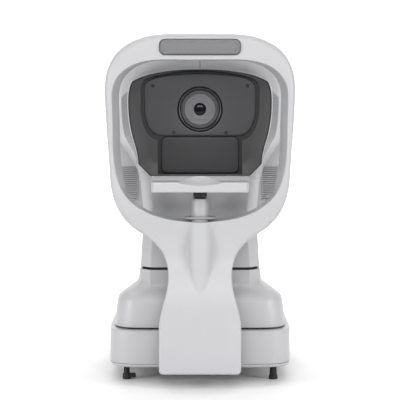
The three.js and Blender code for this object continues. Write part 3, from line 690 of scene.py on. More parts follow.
WHITE = (0.445, 0.445, 0.457)
LOOKS = {
    "white_shell": moulded("white_shell", WHITE, 0.40, mottle=0.02, edge_wear_and_highlight=1.14, shaded=0.26),
    "soft_grey": silicone("soft_grey"),
    "dark_trim": moulded("dark_trim", (0.040, 0.040, 0.043), 0.5, grain=0.0005, depth=0.00004,
                         mottle=0.08, edge_wear_and_highlight=1.9, edge=0.0005, speckle=0.15),
    "black_trim": moulded("black_trim", (0.012, 0.012, 0.013), 0.36, grain=0.0005,
                          mottle=0.1, edge_wear_and_highlight=3.0, edge=0.0004),
    "foot_rubber": rubber("foot_rubber"),
    "bright_steel": metal("bright_steel", (0.66, 0.665, 0.675), 0.3, (1.0, 1.0, 0.03)),
    "cast_alloy": cast_metal("cast_alloy"),
    "coated_glass": glass("coated_glass", (0.004, 0.0035, 0.007), 0.05, 0.1),
    "screen_glass": glass("screen_glass", (0.012, 0.013, 0.015), 0.07, 0.16),
    "circuit_board": board("circuit_board"),
    "thermal_paper": paper("thermal_paper"),
}
GRILLE_LOOK = moulded("grille_white", WHITE, 0.45, mottle=0.03, edge_wear_and_highlight=1.1, shaded=0.3)
COLLAR_LOOK = moulded("collar_grey", (0.28, 0.28, 0.288), 0.5, mottle=0.03, edge_wear_and_highlight=1.1, shaded=0.3)
# A darker grey for the snout's steep side chamfers: painted shade.
CHAMFER_SHADE_LOOK = moulded("chamfer_painted_shade", (0.23, 0.23, 0.236), 0.42, mottle=0.03, edge_wear_and_highlight=1.5)
# The chin cup gets a paler copy of the white shell without painted shade: painted light where the
# cup's scoop catches light from above.
CUP_LIT_LOOK = moulded("cup_painted_light", (0.62, 0.62, 0.63), 0.38, mottle=0.02, edge_wear_and_highlight=1.08)
BLOCK_LOOK = moulded("block_dark", (0.020, 0.020, 0.022), 0.55, grain=0.0005, depth=0.00004,
                     mottle=0.08, edge_wear_and_highlight=2.0, edge=0.0006, speckle=0.1)
BEZEL_LOOK = moulded("bezel_dark", (0.031, 0.031, 0.033), 0.42, grain=0.0005, mottle=0.08,
                     edge_wear_and_highlight=2.6, edge=0.0005)
OUTER_DISC = ringed("disc_outer", (0.036, 0.036, 0.038), 0.45, 0.0011, 0.00004)
INNER_DISC = ringed("disc_inner", (0.12, 0.12, 0.124), 0.42, 0.0013, 0.00006)
POST_LOOK = moulded("post_satin", (0.40, 0.40, 0.41), 0.33, mottle=0.03, edge_wear_and_highlight=1.1, shaded=0.35)


def finish_piece(obj, slot, body, *nodes, look=None, angle=30):
    """Shades a piece, paints it, and tells the frame where it belongs."""
    if obj.type == "MESH":
        shade(obj, angle)
    obj.data.materials.clear()
    obj.data.materials.append(look or LOOKS[slot])
    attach(obj, body)
    if nodes:
        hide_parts(*nodes)
    return obj


# ---- Face frame ----
def frame_outline():
    bottom, top, side = RING_LOW[2], RING_HIGH[2], RING_HIGH[0]
    foot = 54.9
    return mirrored(curve(
        (0, bottom), (foot - 7, bottom), (foot, bottom, foot, bottom + 7), (foot, 82),
        (foot, 106, 42.4, 126, 42.4, 152), (42.4, 180, 56, 196, 80, 210.5),
        (106, 226, 118, 252, 119.6, 285), (120.6, 320, side, 365, side, 402),
        (side, 448, 96, top, 38, top), (0, top), steps=20))


def opening_outline(narrow):
    side = 115 - narrow
    return mirrored(curve(
        (0, 225 + narrow / 4),
        (50, 225 + narrow / 4, 84, 238 + narrow / 4, 101 - narrow / 2, 264),
        (112 - narrow, 282, side, 305, side, 345),
        (side, 362, side + 1, 372, side + 1, 392),
        (side + 1, 422, 92 - narrow, 439, 50, 440), (0, 440), steps=24))


def pill(spread):
    return front_rect(PAD_LOW, PAD_HIGH, 7 + spread, spread)


def neck_hollow():
    """The front of the neck in side view, as (z, y)."""
    deepest = RING_FRONT + 17.2
    side = curve((RING_FRONT, 272), (RING_FRONT, 240, deepest, 215, deepest, 180),
                 (deepest, 164, RING_FRONT + 4, 148, RING_FRONT, 112), steps=60)
    return side[::-1, 1], np.maximum(side[::-1, 0], RING_FRONT)


def build_face_frame():
    heights, depths = neck_hollow()

    def front(x, z):
        face = np.interp(z, heights, depths, RING_FRONT, RING_FRONT)
        across = np.sqrt(np.maximum(15.5**2 - np.minimum(np.abs(x), 15.5) ** 2, 0))
        spine = np.where(z < 232, POST_Y - across, 0)
        spine = np.where(np.abs(x) < 15.4, spine, POST_Y + 2 * (np.abs(x) - 15.4))
        return -np.where(z < 225, smooth_min(face, spine, 0.9), face)

    def back(x, z):
        step = smooth_step(z, 70.0, 73.0)
        return -(RING_FRONT + 47 - 12 * step)

    outline = densify(frame_outline(), 3.0)
    ring_share = smooth_step(outline[:, 1], 170, 270)
    near = densify(opening_outline(0), 2.0)
    band = np.min(np.hypot(*(outline[:, None, :] - near[None, :, :]).transpose(2, 0, 1)), axis=1)
    radius = np.minimum(2.6 + 6.0 * ring_share, band - 2.2)
    top_rows = [(radius * a, radius * b) for a, b in quarter(1.0, 7)]
    outside = (outline, outline, top_rows, quarter(4.0))
    wide, narrow = opening_outline(0), opening_outline(7.5)
    steps = np.linspace(0, 1, 260, endpoint=False)

    def even(loop):
        loop = np.vstack([loop, loop[:1]])
        along = np.concatenate([[0], np.cumsum(np.hypot(*np.diff(loop, axis=0).T))])
        share = along / along[-1]
        return np.stack([np.interp(steps, share, loop[:, k]) for k in (0, 1)], axis=1)

    opening = (even(wide)[::-1], even(narrow)[::-1], quarter(1.5), quarter(1.2))
    spine_area = (1.5, np.array([-19.0, 112.0]), np.array([19.0, 229.0]))
    obj = slab("face_frame_shape", [outside, opening], front, back, upright, 4.5, spine_area)
    guide = rod("z", 0, POST_Y, 12, 112, 240)
    bay = prism("bay", "z", rounded_rect(-19, 19, -212, -140, 2), 36, 112)
    seat = prism("seat", "y", pill(0.8), RING_FRONT - 4, RING_FRONT + 3.4)
    cut(obj, guide, bay, seat)
    finish_piece(obj, "white_shell", "root", "face_frame", angle=38)


def build_pad():
    outline = densify(pill(-0.5), 1.6)
    middle = (PAD_LOW[2] + PAD_HIGH[2]) / 2

    def front(x, z):
        across = np.abs(z - middle) / 10
        along = np.abs(x) / 53
        return -(PAD_LOW[1] + 0.5 * across**2 + 0.9 * along**4)

    rows = [(4.6, 0.75), (4.1, 0.7), (3.6, 0.45), (3.1, 0.1), (2.5, 0.0), (1.8, 0.12),
            (1.1, 0.5), (0.5, 1.15), (0.15, 2.0), (0.0, 2.9)]
    inner = inset(outline, 4.6)

    def crowned(x, z):
        spots = np.stack([np.atleast_1d(x), np.atleast_1d(z)], axis=1)
        dip = np.where(inside(spots, inner), 0.75, 0.0).reshape(np.shape(x))
        return front(x, z) - dip

    loops = [(outline, outline, rows, quarter(0.8))]
    obj = slab("forehead_pad_shape", loops, front, level(-PAD_HIGH[1]), upright, 2.2)
    for vertex in obj.data.vertices:
        spot = np.array([[vertex.co.x, vertex.co.z]]) / MM
        if vertex.co.y / MM < PAD_LOW[1] + 2.0 and inside(spot, inner * 0.9999)[0]:
            vertex.co.y = -float(crowned(spot[:, 0], spot[:, 1])[0]) * MM
    finish_piece(obj, "soft_grey", "root", "forehead_pad", angle=50)


# ---- Chin rest ----
def build_chin_rest():
    cup_y = (CUP_LOW[1] + CUP_HIGH[1]) / 2
    top, rise = PLATE_HIGH[2], CUP_HIGH[2] - PLATE_HIGH[2]
    lip = 4.6

    def dish(x, y):
        """A shallow scoop that dips towards the patient and rises to the cup's rear rim."""
        across = (x / CUP_HIGH[0]) ** 2
        back = np.clip((y - PLATE_LOW[1]) / (CUP_HIGH[1] - PLATE_LOW[1]), 0, 1)
        lifted = (lip + rise) * back**2.2 * np.maximum(1 - across, 0)
        return top - lip + lip * across + lifted

    def plate_top(x, y):
        return smooth_min(np.full(np.shape(x), PLATE_HIGH[2]), dish(x, y), 0.6)

    outline = densify(plan_rect(PLATE_LOW, PLATE_HIGH, 9), 2.5)
    rows = (outline, outline, quarter(1.6), quarter(1.2))
    plate_obj = slab("chin_plate_shape", [rows], plate_top, level(PLATE_LOW[2]), flat, 2.5)
    seat = prism("seat", "z", ellipse(0, cup_y, 29.4, 21.4), PLATE_LOW[2] + 2, PLATE_HIGH[2] + 20)
    cut(plate_obj, seat)
    finish_piece(plate_obj, "white_shell", "chin_rest", "chin_plate")

    rim = ellipse(0, cup_y, CUP_HIGH[0], (CUP_HIGH[1] - CUP_LOW[1]) / 2, 120)
    cup = slab("chin_cup_shape", [(rim, rim, quarter(1.3), quarter(0.8))],
               lambda x, y: dish(x, y) + 0.25, level(CUP_LOW[2]), flat, 2.0)
    finish_piece(cup, "white_shell", "chin_rest", "chin_cup", look=CUP_LIT_LOOK)

    low, high = POST_LOW[2], POST_HIGH[2]
    post = turned("chin_post_shape", [(0, low), (11.4, low), (11.4, high), (0, high)],
                  (0, POST_Y, 0), soften=0.9)
    finish_piece(post, "bright_steel", "chin_rest", "chin_post", look=POST_LOOK)

    low, high = (c[2] for c in place("chin_bracket"))
    steps = [(0, low), (8.2, low), (8.2, low + 1.6), (9.2, low + 2.2), (9.2, high), (0, high)]
    bracket = turned("chin_bracket_shape", steps, (0, POST_Y, 0), soften=0.4)
    finish_piece(bracket, "black_trim", "chin_rest", "chin_bracket")

    low, high = place("post_collar")
    rim = plan_rect(low, high, 15, 12)
    hole = ellipse(0, POST_Y, 12.0, 12.0, 48)
    collar = plate("post_collar_shape", rim, high[2], low[2], 0.9, 0.3, [(hole, 0.5)], 4.0, flat)
    finish_piece(collar, "white_shell", "root", "post_collar", look=COLLAR_LOOK)


# ---- Base ----
def build_base():
    low, high = place("base_cover")
    front, rear, half = low[1], high[1], high[0]
    top, split = high[2], low[2]
    bottom = place("base_tray")[0][2]

    def ring(edge):
        return soft_box(half - edge, front + edge, rear - edge, 160)

    rows = [(split, 0.5), (split + 0.5, 0.1), (split + 1.2, 0.0), (top - 3.2, 0.0)]
    rows += [(top - d, i) for i, d in quarter(3.2, 6)[::-1][1:]]
    cover = loft("base_cover_shape", "z", [(z, ring(edge)) for z, edge in rows])
    room = loft("room", "z", [(split - 1, ring(WALL)), (top - WALL, ring(WALL))])
    slot_plan = rounded_rect(-72, 72, -75, 105, 4)
    travel = prism("travel", "z", slot_plan, top - 10, top + 5)
    inlet = prism("inlet", "y", rounded_rect(-74.3, -45.7, 41.7, 64.3, 1), rear - 10, rear + 5)
    switch = prism("switch", "y", rounded_rect(-33.3, -18.7, 42.7, 63.3, 1), rear - 10, rear + 5)
    wire = rod("y", 0, 52, 6, front - 5, front + 10, 32)
    cut(cover, room, travel, inlet, switch, wire)
    finish_piece(cover, "white_shell", "root", "base_cover")

    rows = [(bottom + d, i) for i, d in quarter(3.4, 6)]
    rows += [(split - 0.75, 0.0), (split - 0.35, 0.2)]
    tray = loft("base_tray_shape", "z", [(z, ring(edge)) for z, edge in rows])
    well = loft("well", "z", [(bottom + 3, ring(5)), (split + 1, ring(5))])
    cut(tray, well)
    for side in (-1, 1):
        rail_low, rail_high = place("y_rail_right" if side > 0 else "y_rail_left")
        x, z = (rail_low[0] + rail_high[0]) / 2, (rail_low[2] + rail_high[2]) / 2
        for y in (rail_low[1], rail_high[1] - 10):
            tower = block("tower", (x - 9, y, bottom + 3), (x + 9, y + 10, z + 9), 1.0)
            bore = rod("y", x, z, 5.3, y - 1, y + 11, 32)
            join(tray, cut(tower, bore))
    finish_piece(tray, "white_shell", "root", "base_tray")


def build_inlet():
    low, high = place("power_inlet")
    x, _, z = (low + high) / 2
    body = block("inlet_body", low, high, 0.8)
    mouth = rounded_rect(x - 11, x + 11, z - 8, z + 8, 2)
    cut(body, prism("mouth", "y", mouth, high[1] - 14, high[1] + 3))
    body.name = "power_inlet_shape"
    finish_piece(body, "black_trim", "root", "power_inlet")
    for name, dx, dz in (("left", -5, -1.5), ("right", 5, -1.5), ("earth", 0, 2.5)):
        pin = block(f"inlet_pin_{name}", (x + dx - 0.9, high[1] - 15, z + dz - 2),
                    (x + dx + 0.9, high[1] - 3.5, z + dz + 2), 0.35)
        finish_piece(pin, "bright_steel", "root")


def build_feet():
    bottom_z, top_z = (corner[2] for corner in place("foot_front_right"))
    for node in ("foot_front_right", "foot_rear_left", "foot_rear_right"):
        low, high = place(node)
        x, y = (low[0] + high[0]) / 2, (low[1] + high[1]) / 2
        profile = [(0, bottom_z), (6.1, bottom_z), (6.2, 2.6), (4.9, 8.5), (4.6, top_z - 3),
                   (5.4, top_z - 1.6), (7.5, top_z - 1.5), (7.5, top_z), (0, top_z)]
        foot = turned(node + "_shape", profile, (x, y, 0), sides=48, soften=0.7)
        finish_piece(foot, "foot_rubber", "root", node)
    low, high = place("levelling_foot")
    x, y = low[0] + 5.8, (low[1] + high[1]) / 2
    profile = [(0, 0), (5.6, 0), (5.8, 1.2), (5.8, 7.0), (4.2, 8.6), (4.2, top_z - 1.6),
               (5.8, top_z - 1.2), (5.8, top_z), (0, top_z)]
    stem = turned("levelling_foot_shape", profile, (x, y, 0), sides=48, soften=0.5)
    tab = plate("tab", rounded_rect(x, high[0], y - 3.3, y + 3.3, 2.4), 8.3, 2.3, 1.2, 1.2,
                lay=flat, step=1.0)
    join(stem, tab)
    finish_piece(stem, "foot_rubber", "levelling_foot", "levelling_foot")


# ---- Stage ----
def polar(points, angles):
    """Radius of a star-shaped outline round the z axis at each angle."""
    pts = points[np.argsort(np.arctan2(points[:, 1], points[:, 0]))]
    e = np.roll(pts, -1, axis=0) - pts
    r = np.empty(len(angles))
    for i, t in enumerate(angles):
        d = (math.cos(t), math.sin(t))
        cross = d[0] * e[:, 1] - d[1] * e[:, 0]
        with np.errstate(divide="ignore", invalid="ignore"):
            s = (pts[:, 0] * e[:, 1] - pts[:, 1] * e[:, 0]) / cross
            u = (pts[:, 0] * d[1] - pts[:, 1] * d[0]) / cross
        ok = (s > 0) & (u > -1e-6) & (u < 1 + 1e-6) & np.isfinite(s)
        r[i] = s[ok].max()
    return r


def column_plan(half_width, front, rear):
    return np.array([
        (half_width - 14, front), (half_width, front + 18), (half_width, rear - 20),
        (half_width - 20, rear), (-half_width + 20, rear), (-half_width, rear - 20),
        (-half_width, front + 18), (-half_width + 14, front)])


SKIRT = [  # height, half width, front, rear
    (76.5, 120, -160, 240), (77.2, 120.0, -160, 240), (90, 118.6, -159.2, 239.2),
    (102, 117.2, -158.1, 238.1), (108, 116.4, -157.3, 237.5), (113, 115.2, -156.2, 236.8),
    (117, 113.2, -154.2, 235.4), (120.5, 110.2, -151.5, 233.6), (124, 106.0, -147.8, 231.2),
    (127.5, 100.6, -142.8, 228.0), (131, 95.0, -138.0, 224.2), (134.5, 89.8, -132.6, 219.8),
    (137, 86.2, -128.6, 216.4),
]


def skirt_section(z, thinner=0.0):
    rows = np.array(SKIRT)
    half, front, rear = (np.interp(z, rows[:, 0], rows[:, k]) for k in (1, 2, 3))
    return soft_box(half - thinner, front + thinner, rear - thinner, 240)


def shoulder_reach(y, z, thinner):
    """How far out the skirt may reach: its shoulders fall away towards the operator."""
    back = (y + 160) / 400
    brink_x = 83.5 + 16.2 * back - 0.85 * thinner
    brink_z = 144.1 - 44.9 * back - 0.77 * thinner
    slope = brink_x + (brink_z - z) / 0.75
    wall = brink_x - (z - brink_z) * 0.195 * back
    return np.where(z < brink_z, slope, wall)


def stage_solid(name, thinner, levels, top):
    """The skirt and the column's stump in one skin, with a soft fillet where they meet."""
    stump = column_plan(82.5 - thinner, -140 + thinner, 100 - thinner)
    corners = np.arctan2(stump[:, 1], stump[:, 0])
    even = np.linspace(-math.pi, math.pi, 300, endpoint=False)
    spare = [a for a in even if np.abs(a - corners).min() > 0.006]
    angles = np.sort(np.concatenate([spare, corners]))
    stump_r = polar(stump, angles)
    sections = []
    for z in levels:
        skirt_r = polar(skirt_section(z + thinner, thinner), angles)
        cosine = np.maximum(np.abs(np.cos(angles)), 0.05)
        fallen_r = shoulder_reach(skirt_r * np.sin(angles), z, thinner) / cosine
        skirt_r = smooth_min(skirt_r, fallen_r, 5.0)
        reach = 9.0 * smooth_step(z, 104, 126) + 0.01
        r = -smooth_min(-skirt_r, -stump_r, reach)
        sections.append((z, r))
    last = sections[-1][1]
    for share in (0.3, 0.6, 0.85, 0.96, 1.0):
        lip = 2.2 * (1 - share)
        r = last + (stump_r - last) * share
        sections.append((levels[-1] + 0.8 * share, np.maximum(r, stump_r + lip * (last > r + 1))))
    sections.append((levels[-1] + 3, stump_r))
    sections.append((top, stump_r))
    way = np.stack([np.cos(angles), np.sin(angles)], axis=1)
    return loft(name, "z", [(z, r[:, None] * way) for z, r in sections])


def flutes(count, x, out, radius, sides, low, high):
    """Tools that cut even grooves into a knob's rim."""
    tools = []
    for i in range(count):
        a = 2 * math.pi * i / count
        spot = (x + out * math.cos(a), STICK_Y + out * math.sin(a))
        tools.append(rod("z", *spot, radius, low, high, sides))
    return tools


def build_stage():
    low, high = place("stage_cover")
    levels = [76.5, 77.2, *np.arange(80, 110, 3.0), *np.arange(110, 137, 1.5), 137]
    outer = stage_solid("stage_cover_shape", 0.0, levels, high[2])
    inner = stage_solid("inner", WALL, [75.5, *(z - WALL for z in levels[2:])], high[2] + 5)
    holes = [rod("z", x, STICK_Y, radius, 125, 145, sides)
             for x, radius, sides in ((0, 20, 64), (-52, 6.4, 40), (-34, 6.4, 40), (55, 5, 32))]
    cut(outer, inner, *holes)
    finish_piece(outer, "white_shell", "stage", "stage_cover", angle=28)

    for node in ("chin_up_button", "chin_down_button"):
        low, high = place(node)
        x = (low[0] + high[0]) / 2
        top = high[2]
        profile = [(0, low[2]), (5.9, low[2]), (6.0, top - 1.0), (5.2, top - 0.1),
                   (3.6, top - 0.35), (0, top - 0.7)]
        button = turned(node + "_shape", profile, (x, STICK_Y, 0), sides=48, soften=0.5)
        finish_piece(button, "dark_trim", node, node)

    low, high = place("stage_lock_knob")
    x = (low[0] + high[0]) / 2
    z = low[2]
    profile = [(0, z), (4.5, z), (4.5, z + 9.2), (11.9, z + 9.2), (12, z + 20), (10.4, high[2]),
               (4, high[2] - 0.6), (0, high[2] - 0.9)]
    knob = turned("stage_lock_knob_shape", profile, (x, STICK_Y, 0), sides=96, soften=0.7)
    cut(knob, *flutes(14, x, 13.0, 1.7, 16, z + 10.5, high[2] + 1))
    finish_piece(knob, "black_trim", "stage_lock", "stage_lock_knob")


def build_joystick():
    centre = (0, STICK_Y, STICK_Z)
    rim = [(20.4, -4.7), (26, -4.7), (26, -2), (23, 1.5), (20.4, 1.5), (20.4, -4.7)]
    closed = soft_corners(rim, 0.7)
    socket = turned("joystick_socket_shape", np.vstack([closed, closed[:1]]), centre, sides=96)
    finish_piece(socket, "black_trim", "stage", "joystick_socket")
    lever = [(0, -9), (4.5, -8), (7.6, -4.8), (9, 0), (7.6, 4.8), (5.2, 8.2), (5, 10), (5, 48),
             (0, 48)]
    stem = turned("joystick_lever_shape", lever, centre, sides=64, soften=1.0)
    finish_piece(stem, "bright_steel", "joystick", "joystick_lever")
    wheel = [(5.6, 12), (19.6, 12), (21, 13.4), (21, 22.6), (19.6, 24), (5.6, 24), (5.6, 12)]
    ring = turned("joystick_ring_shape", wheel, centre, sides=120, soften=0.0)
    cut(ring, *flutes(30, 0, 21.6, 1.2, 12, STICK_Z + 11, STICK_Z + 25))
    finish_piece(ring, "dark_trim", "joystick_ring", "joystick_ring")
    grip = [(5.3, 24.5), (12.6, 24.5), (14, 26), (15.2, 29.5), (15.5, 32), (14.6, 38),
            (13.7, 44), (13.5, 50), (13.9, 56), (14.8, 62), (15, 66), (14.4, 71), (13, 75),
            (10, 76.8), (7, 77), (7, 52), (5.3, 48.5), (5.3, 24.5)]
    handle = turned("joystick_grip_shape", grip, centre, sides=96)
    grooves = [turned("groove", [(13.1, h), (16, h - 0.7), (16, h + 0.7), (13.1, h)], centre,
                      sides=96) for h in (40, 44, 48, 52, 56)]
    cut(handle, *grooves)
    finish_piece(handle, "black_trim", "joystick", "joystick_grip")
    knob = [(0, 58), (6.6, 58), (6.6, 77.6), (5.6, 79.4), (3.5, 79.8), (0, 80)]
    button = turned("joystick_button_shape", knob, centre, sides=48, soften=0.5)
    finish_piece(button, "soft_grey", "joystick_button", "joystick_button")


# ---- Head ----
def window_outline():
    return mirrored(curve(
        (0, 429), (45, 429, 75, 423, 92, 412.5), (96, 406, 97.5, 396, 97.5, 385),
        (97.5, 365, 95, 350, 91.3, 336.3), (87.5, 325, 84.3, 312, 84, 300.6), (68, 284.2),
        (0, 284.2), steps=16))


def ridge_outline():
    return mirrored(curve(
        (0, 450), (40, 450, 70, 447, 87, 439), (101, 431, 107.5, 405, 108, 385),
        (108, 365, 106, 350, 103.2, 337.6), (96, 324, 86, 310, 84.7, 298), (82, 276.2),
        (0, 276.2), steps=16))


def root_outline():
    return mirrored(curve(
        (0, 457), (45, 457, 80, 455, 98, 447), (112, 437, 118, 410, 118.5, 385),
        (119, 365, 118.5, 345, 114.5, 325), (106, 311, 92, 298, 88, 282), (86, 274.2),
        (0, 274.2), steps=16))


def scaled(points, fx, fy, middle):
    return np.stack([points[:, 0] * fx, middle + (points[:, 1] - middle) * fy], axis=1)


CHAMFER_DEPTH = 19.0
CHAMFER_BOTTOM, CHAMFER_TOP = 301, 408  # heights where the painted shade on the steep side chamfer ends, at CHAMFER_X
CHAMFER_X = 87
CHAMFER_FALL = 0.8  # how fast its upper end falls outwards


def snout(name, thinner):
    rim = scaled(window_outline(), 1.02, 1.02, 350)
    ridge, root = ridge_outline(), root_outline()

    def thin(points, half):
        factor = 1 - thinner / half
        return scaled(points, factor, factor, 340)

    def between(a, b, share):
        return a + (b - a) * share

    front = SNOUT_FRONT + thinner
    soft = between(rim, ridge, 0.86)
    soft_back = between(ridge, root, 0.03)
    sections = [(front + 17.0 * share, thin(between(rim, soft, share), 98 + 9 * share))
                for share in (0.0, 0.15, 0.3, 0.45, 0.6, 0.8, 1.0)]
    sections += [
        (front + CHAMFER_DEPTH, thin(between(rim, ridge, 0.97), 108)),
        (front + 20.6, thin(soft_back, 108)),
        (-76, thin(root, 118)),
    ]
    if thinner == 0:
        sections.insert(0, (front, thin(scaled(window_outline(), 1.012, 1.012, 350), 98)))
        sections[1] = (front + 0.5, thin(rim, 98))
    return loft(name, "y", sections)


def column(name, thinner):
    rows = [(157.3, 82.5, -140), (200, 79.8, -147), (244, 79, -152), (284.2, 82.5, -155.5),
            (303, 84, -152)]
    table = np.array(rows)
    heights = np.concatenate([[157.3, 157.8], np.arange(160, 303, 4.0), [303.0]])
    sections = []
    for row, z in enumerate(heights):
        half, front = (np.interp(z, table[:, 0], table[:, k]) for k in (1, 2))
        soft = 0.5 if row == 0 and not thinner else 0.0
        at = z - 2 if row == 0 and thinner else z
        plan = column_plan(half - thinner - soft, front + thinner + soft, 100 - thinner - soft)
        plan = soft_loop(plan, 1.6)
        sections.append((at, plan))
    return loft(name, "z", sections)


def soft_loop(points, radius):
    """A closed outline with its corners rounded."""
    corners = zip(np.roll(points, 1, axis=0), points, np.roll(points, -1, axis=0))
    return np.vstack([soft_corner(*corner, radius) for corner in corners])


HEAD = {"half": 122.0, "front": -88.0, "rear": 120.0, "bottom": 234.0, "top": 464.0}


def housing(name, thinner):
    middle = (HEAD["bottom"] + HEAD["top"]) / 2
    side = HEAD["half"] - thinner
    ring = rounded_rect(-side, side, HEAD["bottom"] + thinner, HEAD["top"] - thinner,
                        30 - thinner, 12)
    front = HEAD["front"] + thinner
    rear = HEAD["rear"] + (5 if thinner else 0)
    sections = [(rear, ring)]
    if not thinner:
        sections = [(rear, inset(ring, 0.6)), (rear - 0.6, ring)]
    for shift, drop in quarter(8.0, 6)[::-1]:
        factor = 1 - shift / HEAD["half"]
        sections.append((front + drop, scaled(ring, factor, factor, middle)))
    return loft(name, "y", sections)


def chamfer_top(x):
    """Height, in millimetres, at which the painted shade on the steep side chamfer ends."""
    return CHAMFER_TOP - CHAMFER_FALL * (abs(x) / MM - CHAMFER_X)


def on_chamfer(center, normal, bottom, top):
    x, y, z = (c / MM for c in center)
    return (abs(normal[0]) > 0.2 and abs(x) > 70 and y < SNOUT_FRONT + CHAMFER_DEPTH
            and bottom < z < top)


def score_chamfer(half, side):
    """Splits the faces where the painted shade on the chamfer ends, so that its edge is a straight
    line.
    """
    def change(bm):
        # A point with only two edges would let both its faces split along one line and fold.
        spare = [v for v in bm.verts if len(v.link_edges) == 2]
        bmesh.ops.dissolve_verts(bm, verts=spare)
        faces = [f for f in bm.faces if on_chamfer(f.calc_center_median(), f.normal,
                                                   CHAMFER_TOP - 23, CHAMFER_TOP + 17)]
        parts = set(faces)
        for face in faces:
            parts.update(face.edges)
            parts.update(face.verts)
        bmesh.ops.bisect_plane(bm, geom=list(parts), dist=1e-7,
                               plane_co=(side * CHAMFER_X * MM, 0, CHAMFER_TOP * MM),
                               plane_no=(side * CHAMFER_FALL, 0, 1))

    edit(half, change)


def build_head():
    outer = join(column("outer", 0.0), snout("s", 0.0), housing("h", 0.0))
    inner = join(column("inner", WALL), snout("s", WALL), housing("h", WALL))
    window = prism("window", "y", window_outline(), SNOUT_FRONT - 5, SNOUT_FRONT + 12)
    tools = [inner, window]
    for node in VENTS:
        low, high = place(node)
        plan = front_rect(low, high, 2, 0.3, 4)
        tools.append(prism("vent", "y", plan, HEAD["front"] - 5, HEAD["front"] + 8))
    cut(outer, *tools)
    for node, side in (("head_shell_left", -1), ("head_shell_right", 1)):
        half = copy_of(outer, node + "_shape")
        away = (-SEAM, 300) if side < 0 else (-300, SEAM)
        cut(half, prism("away", "x", rounded_rect(-400, 400, 50, 550, 5), *away))
        clean(half, 2e-6)
        score_chamfer(half, side)
        finish_piece(half, "white_shell", "head", node, angle=26)
        # Faces of the steep side chamfer get the darker grey: painted shade.
        half.data.materials.append(CHAMFER_SHADE_LOOK)
        for polygon in half.data.polygons:
            spot = polygon.center
            if on_chamfer(spot, polygon.normal, CHAMFER_BOTTOM, chamfer_top(spot[0])):
                polygon.material_index = 1
    bpy.data.objects.remove(outer)

    for node in VENTS:
        low, high = place(node)
        holes = []
        z = low[2] + 1.6
        while z + 1.0 < high[2] - 1.2:
            slot_hole = rounded_rect(low[0] + 1.4, high[0] - 1.4, z, z + 0.9, 0.44, 3)
            holes.append((slot_hole, 0.5))
            z += 2.7
        outline = front_rect(low, high, 1.8, steps=4)
        grille = plate(node + "_shape", outline, low[1], high[1], 0.5, 0.3, holes, 8.0, step=4.0)
        finish_piece(grille, "soft_grey", "head", node, look=GRILLE_LOOK)


def build_window():
    outline = window_outline()
    outer = densify(scaled(outline, 0.989, 0.989, 355), 3)
    opening = mirrored(curve(
        (0, 427.5), (20, 427.5, 50, 424.5, 70, 417.5), (81, 414, 81, 398), (81, 375),
        (80, 350, 70, 334, 57.5, 333), (57.5, 286.6), (0, 286.6), steps=12))
    hole = densify(opening, 3)[::-1]
    low, high = BEZEL_LOW[1], BEZEL_HIGH[1]
    rim = densify(outline, 2.0)

    def funnel(x, z):
        """The bezel slopes inwards from the window's edge."""
        spots = np.stack([np.ravel(x), np.ravel(z)], axis=1)
        away = np.min(np.hypot(*(spots[:, None, :] - rim[None, :, :]).transpose(2, 0, 1)), axis=1)
        return -(low + 5.0 * np.clip(away / 16.0, 0, 1) ** 0.8).reshape(np.shape(x))

    rows = [(outer, outer, quarter(0.2), quarter(0.2)), (hole, hole, quarter(0.3), quarter(0.2))]
    bezel = slab("window_bezel_shape", rows, funnel, level(-high), upright, 3.0)
    finish_piece(bezel, "dark_trim", "head", "window_bezel", look=BEZEL_LOOK)

    tube_hole = ellipse(0, EYE_Z, 30.7, 30.7, 96)
    low, high = place("window_well")
    back = plate("window_well_shape", scaled(outline, 0.985, 0.985, 355), low[1], high[1], 0.3,
                 0.3, [(tube_hole, 0.3)], 8.0)
    finish_piece(back, "black_trim", "head", "window_well")

    low, high = place("measuring_face")
    face = mirrored(curve(
        (0, 424), (40, 424, 62, 420, 72, 413), (76.5, 409, 76.5, 400), (76, 375),
        (75, 352, 66, 338.6, 50, 338.6), (0, 338.6), steps=14))
    plate_face = plate("measuring_face_shape", face, low[1], high[1], 2.6, 0.3,
                       [(tube_hole, 0.8)], 5.0)
    finish_piece(plate_face, "dark_trim", "head", "measuring_face")

    low, high = place("lower_block")
    outline = front_rect(low, high, 9)
    lower = plate("lower_block_shape", outline, low[1], high[1], 3.0, 0.3, (), 5.0)
    finish_piece(lower, "black_trim", "head", "lower_block", look=BLOCK_LOOK)

    face_front = place("measuring_face")[0][1]
    for name, x, z in (("upper_left", -64.2, 406.6), ("upper_right", 64.2, 406.6),
                       ("lower_left", -35.2, 343.6), ("lower_right", 35.2, 343.6)):
        head = [(0, -0.9), (1.6, -0.85), (2.5, -0.4), (2.7, 0.0), (2.7, 0.8), (0, 0.8)]
        screw = turned("face_screw_" + name, head, (x, face_front, z), "y", 36)
        socket = prism("socket", "y", ellipse(x, z, 1.2, 1.2, 6), face_front - 2, face_front - 0.1)
        cut(screw, socket)
        finish_piece(screw, "black_trim", "head")


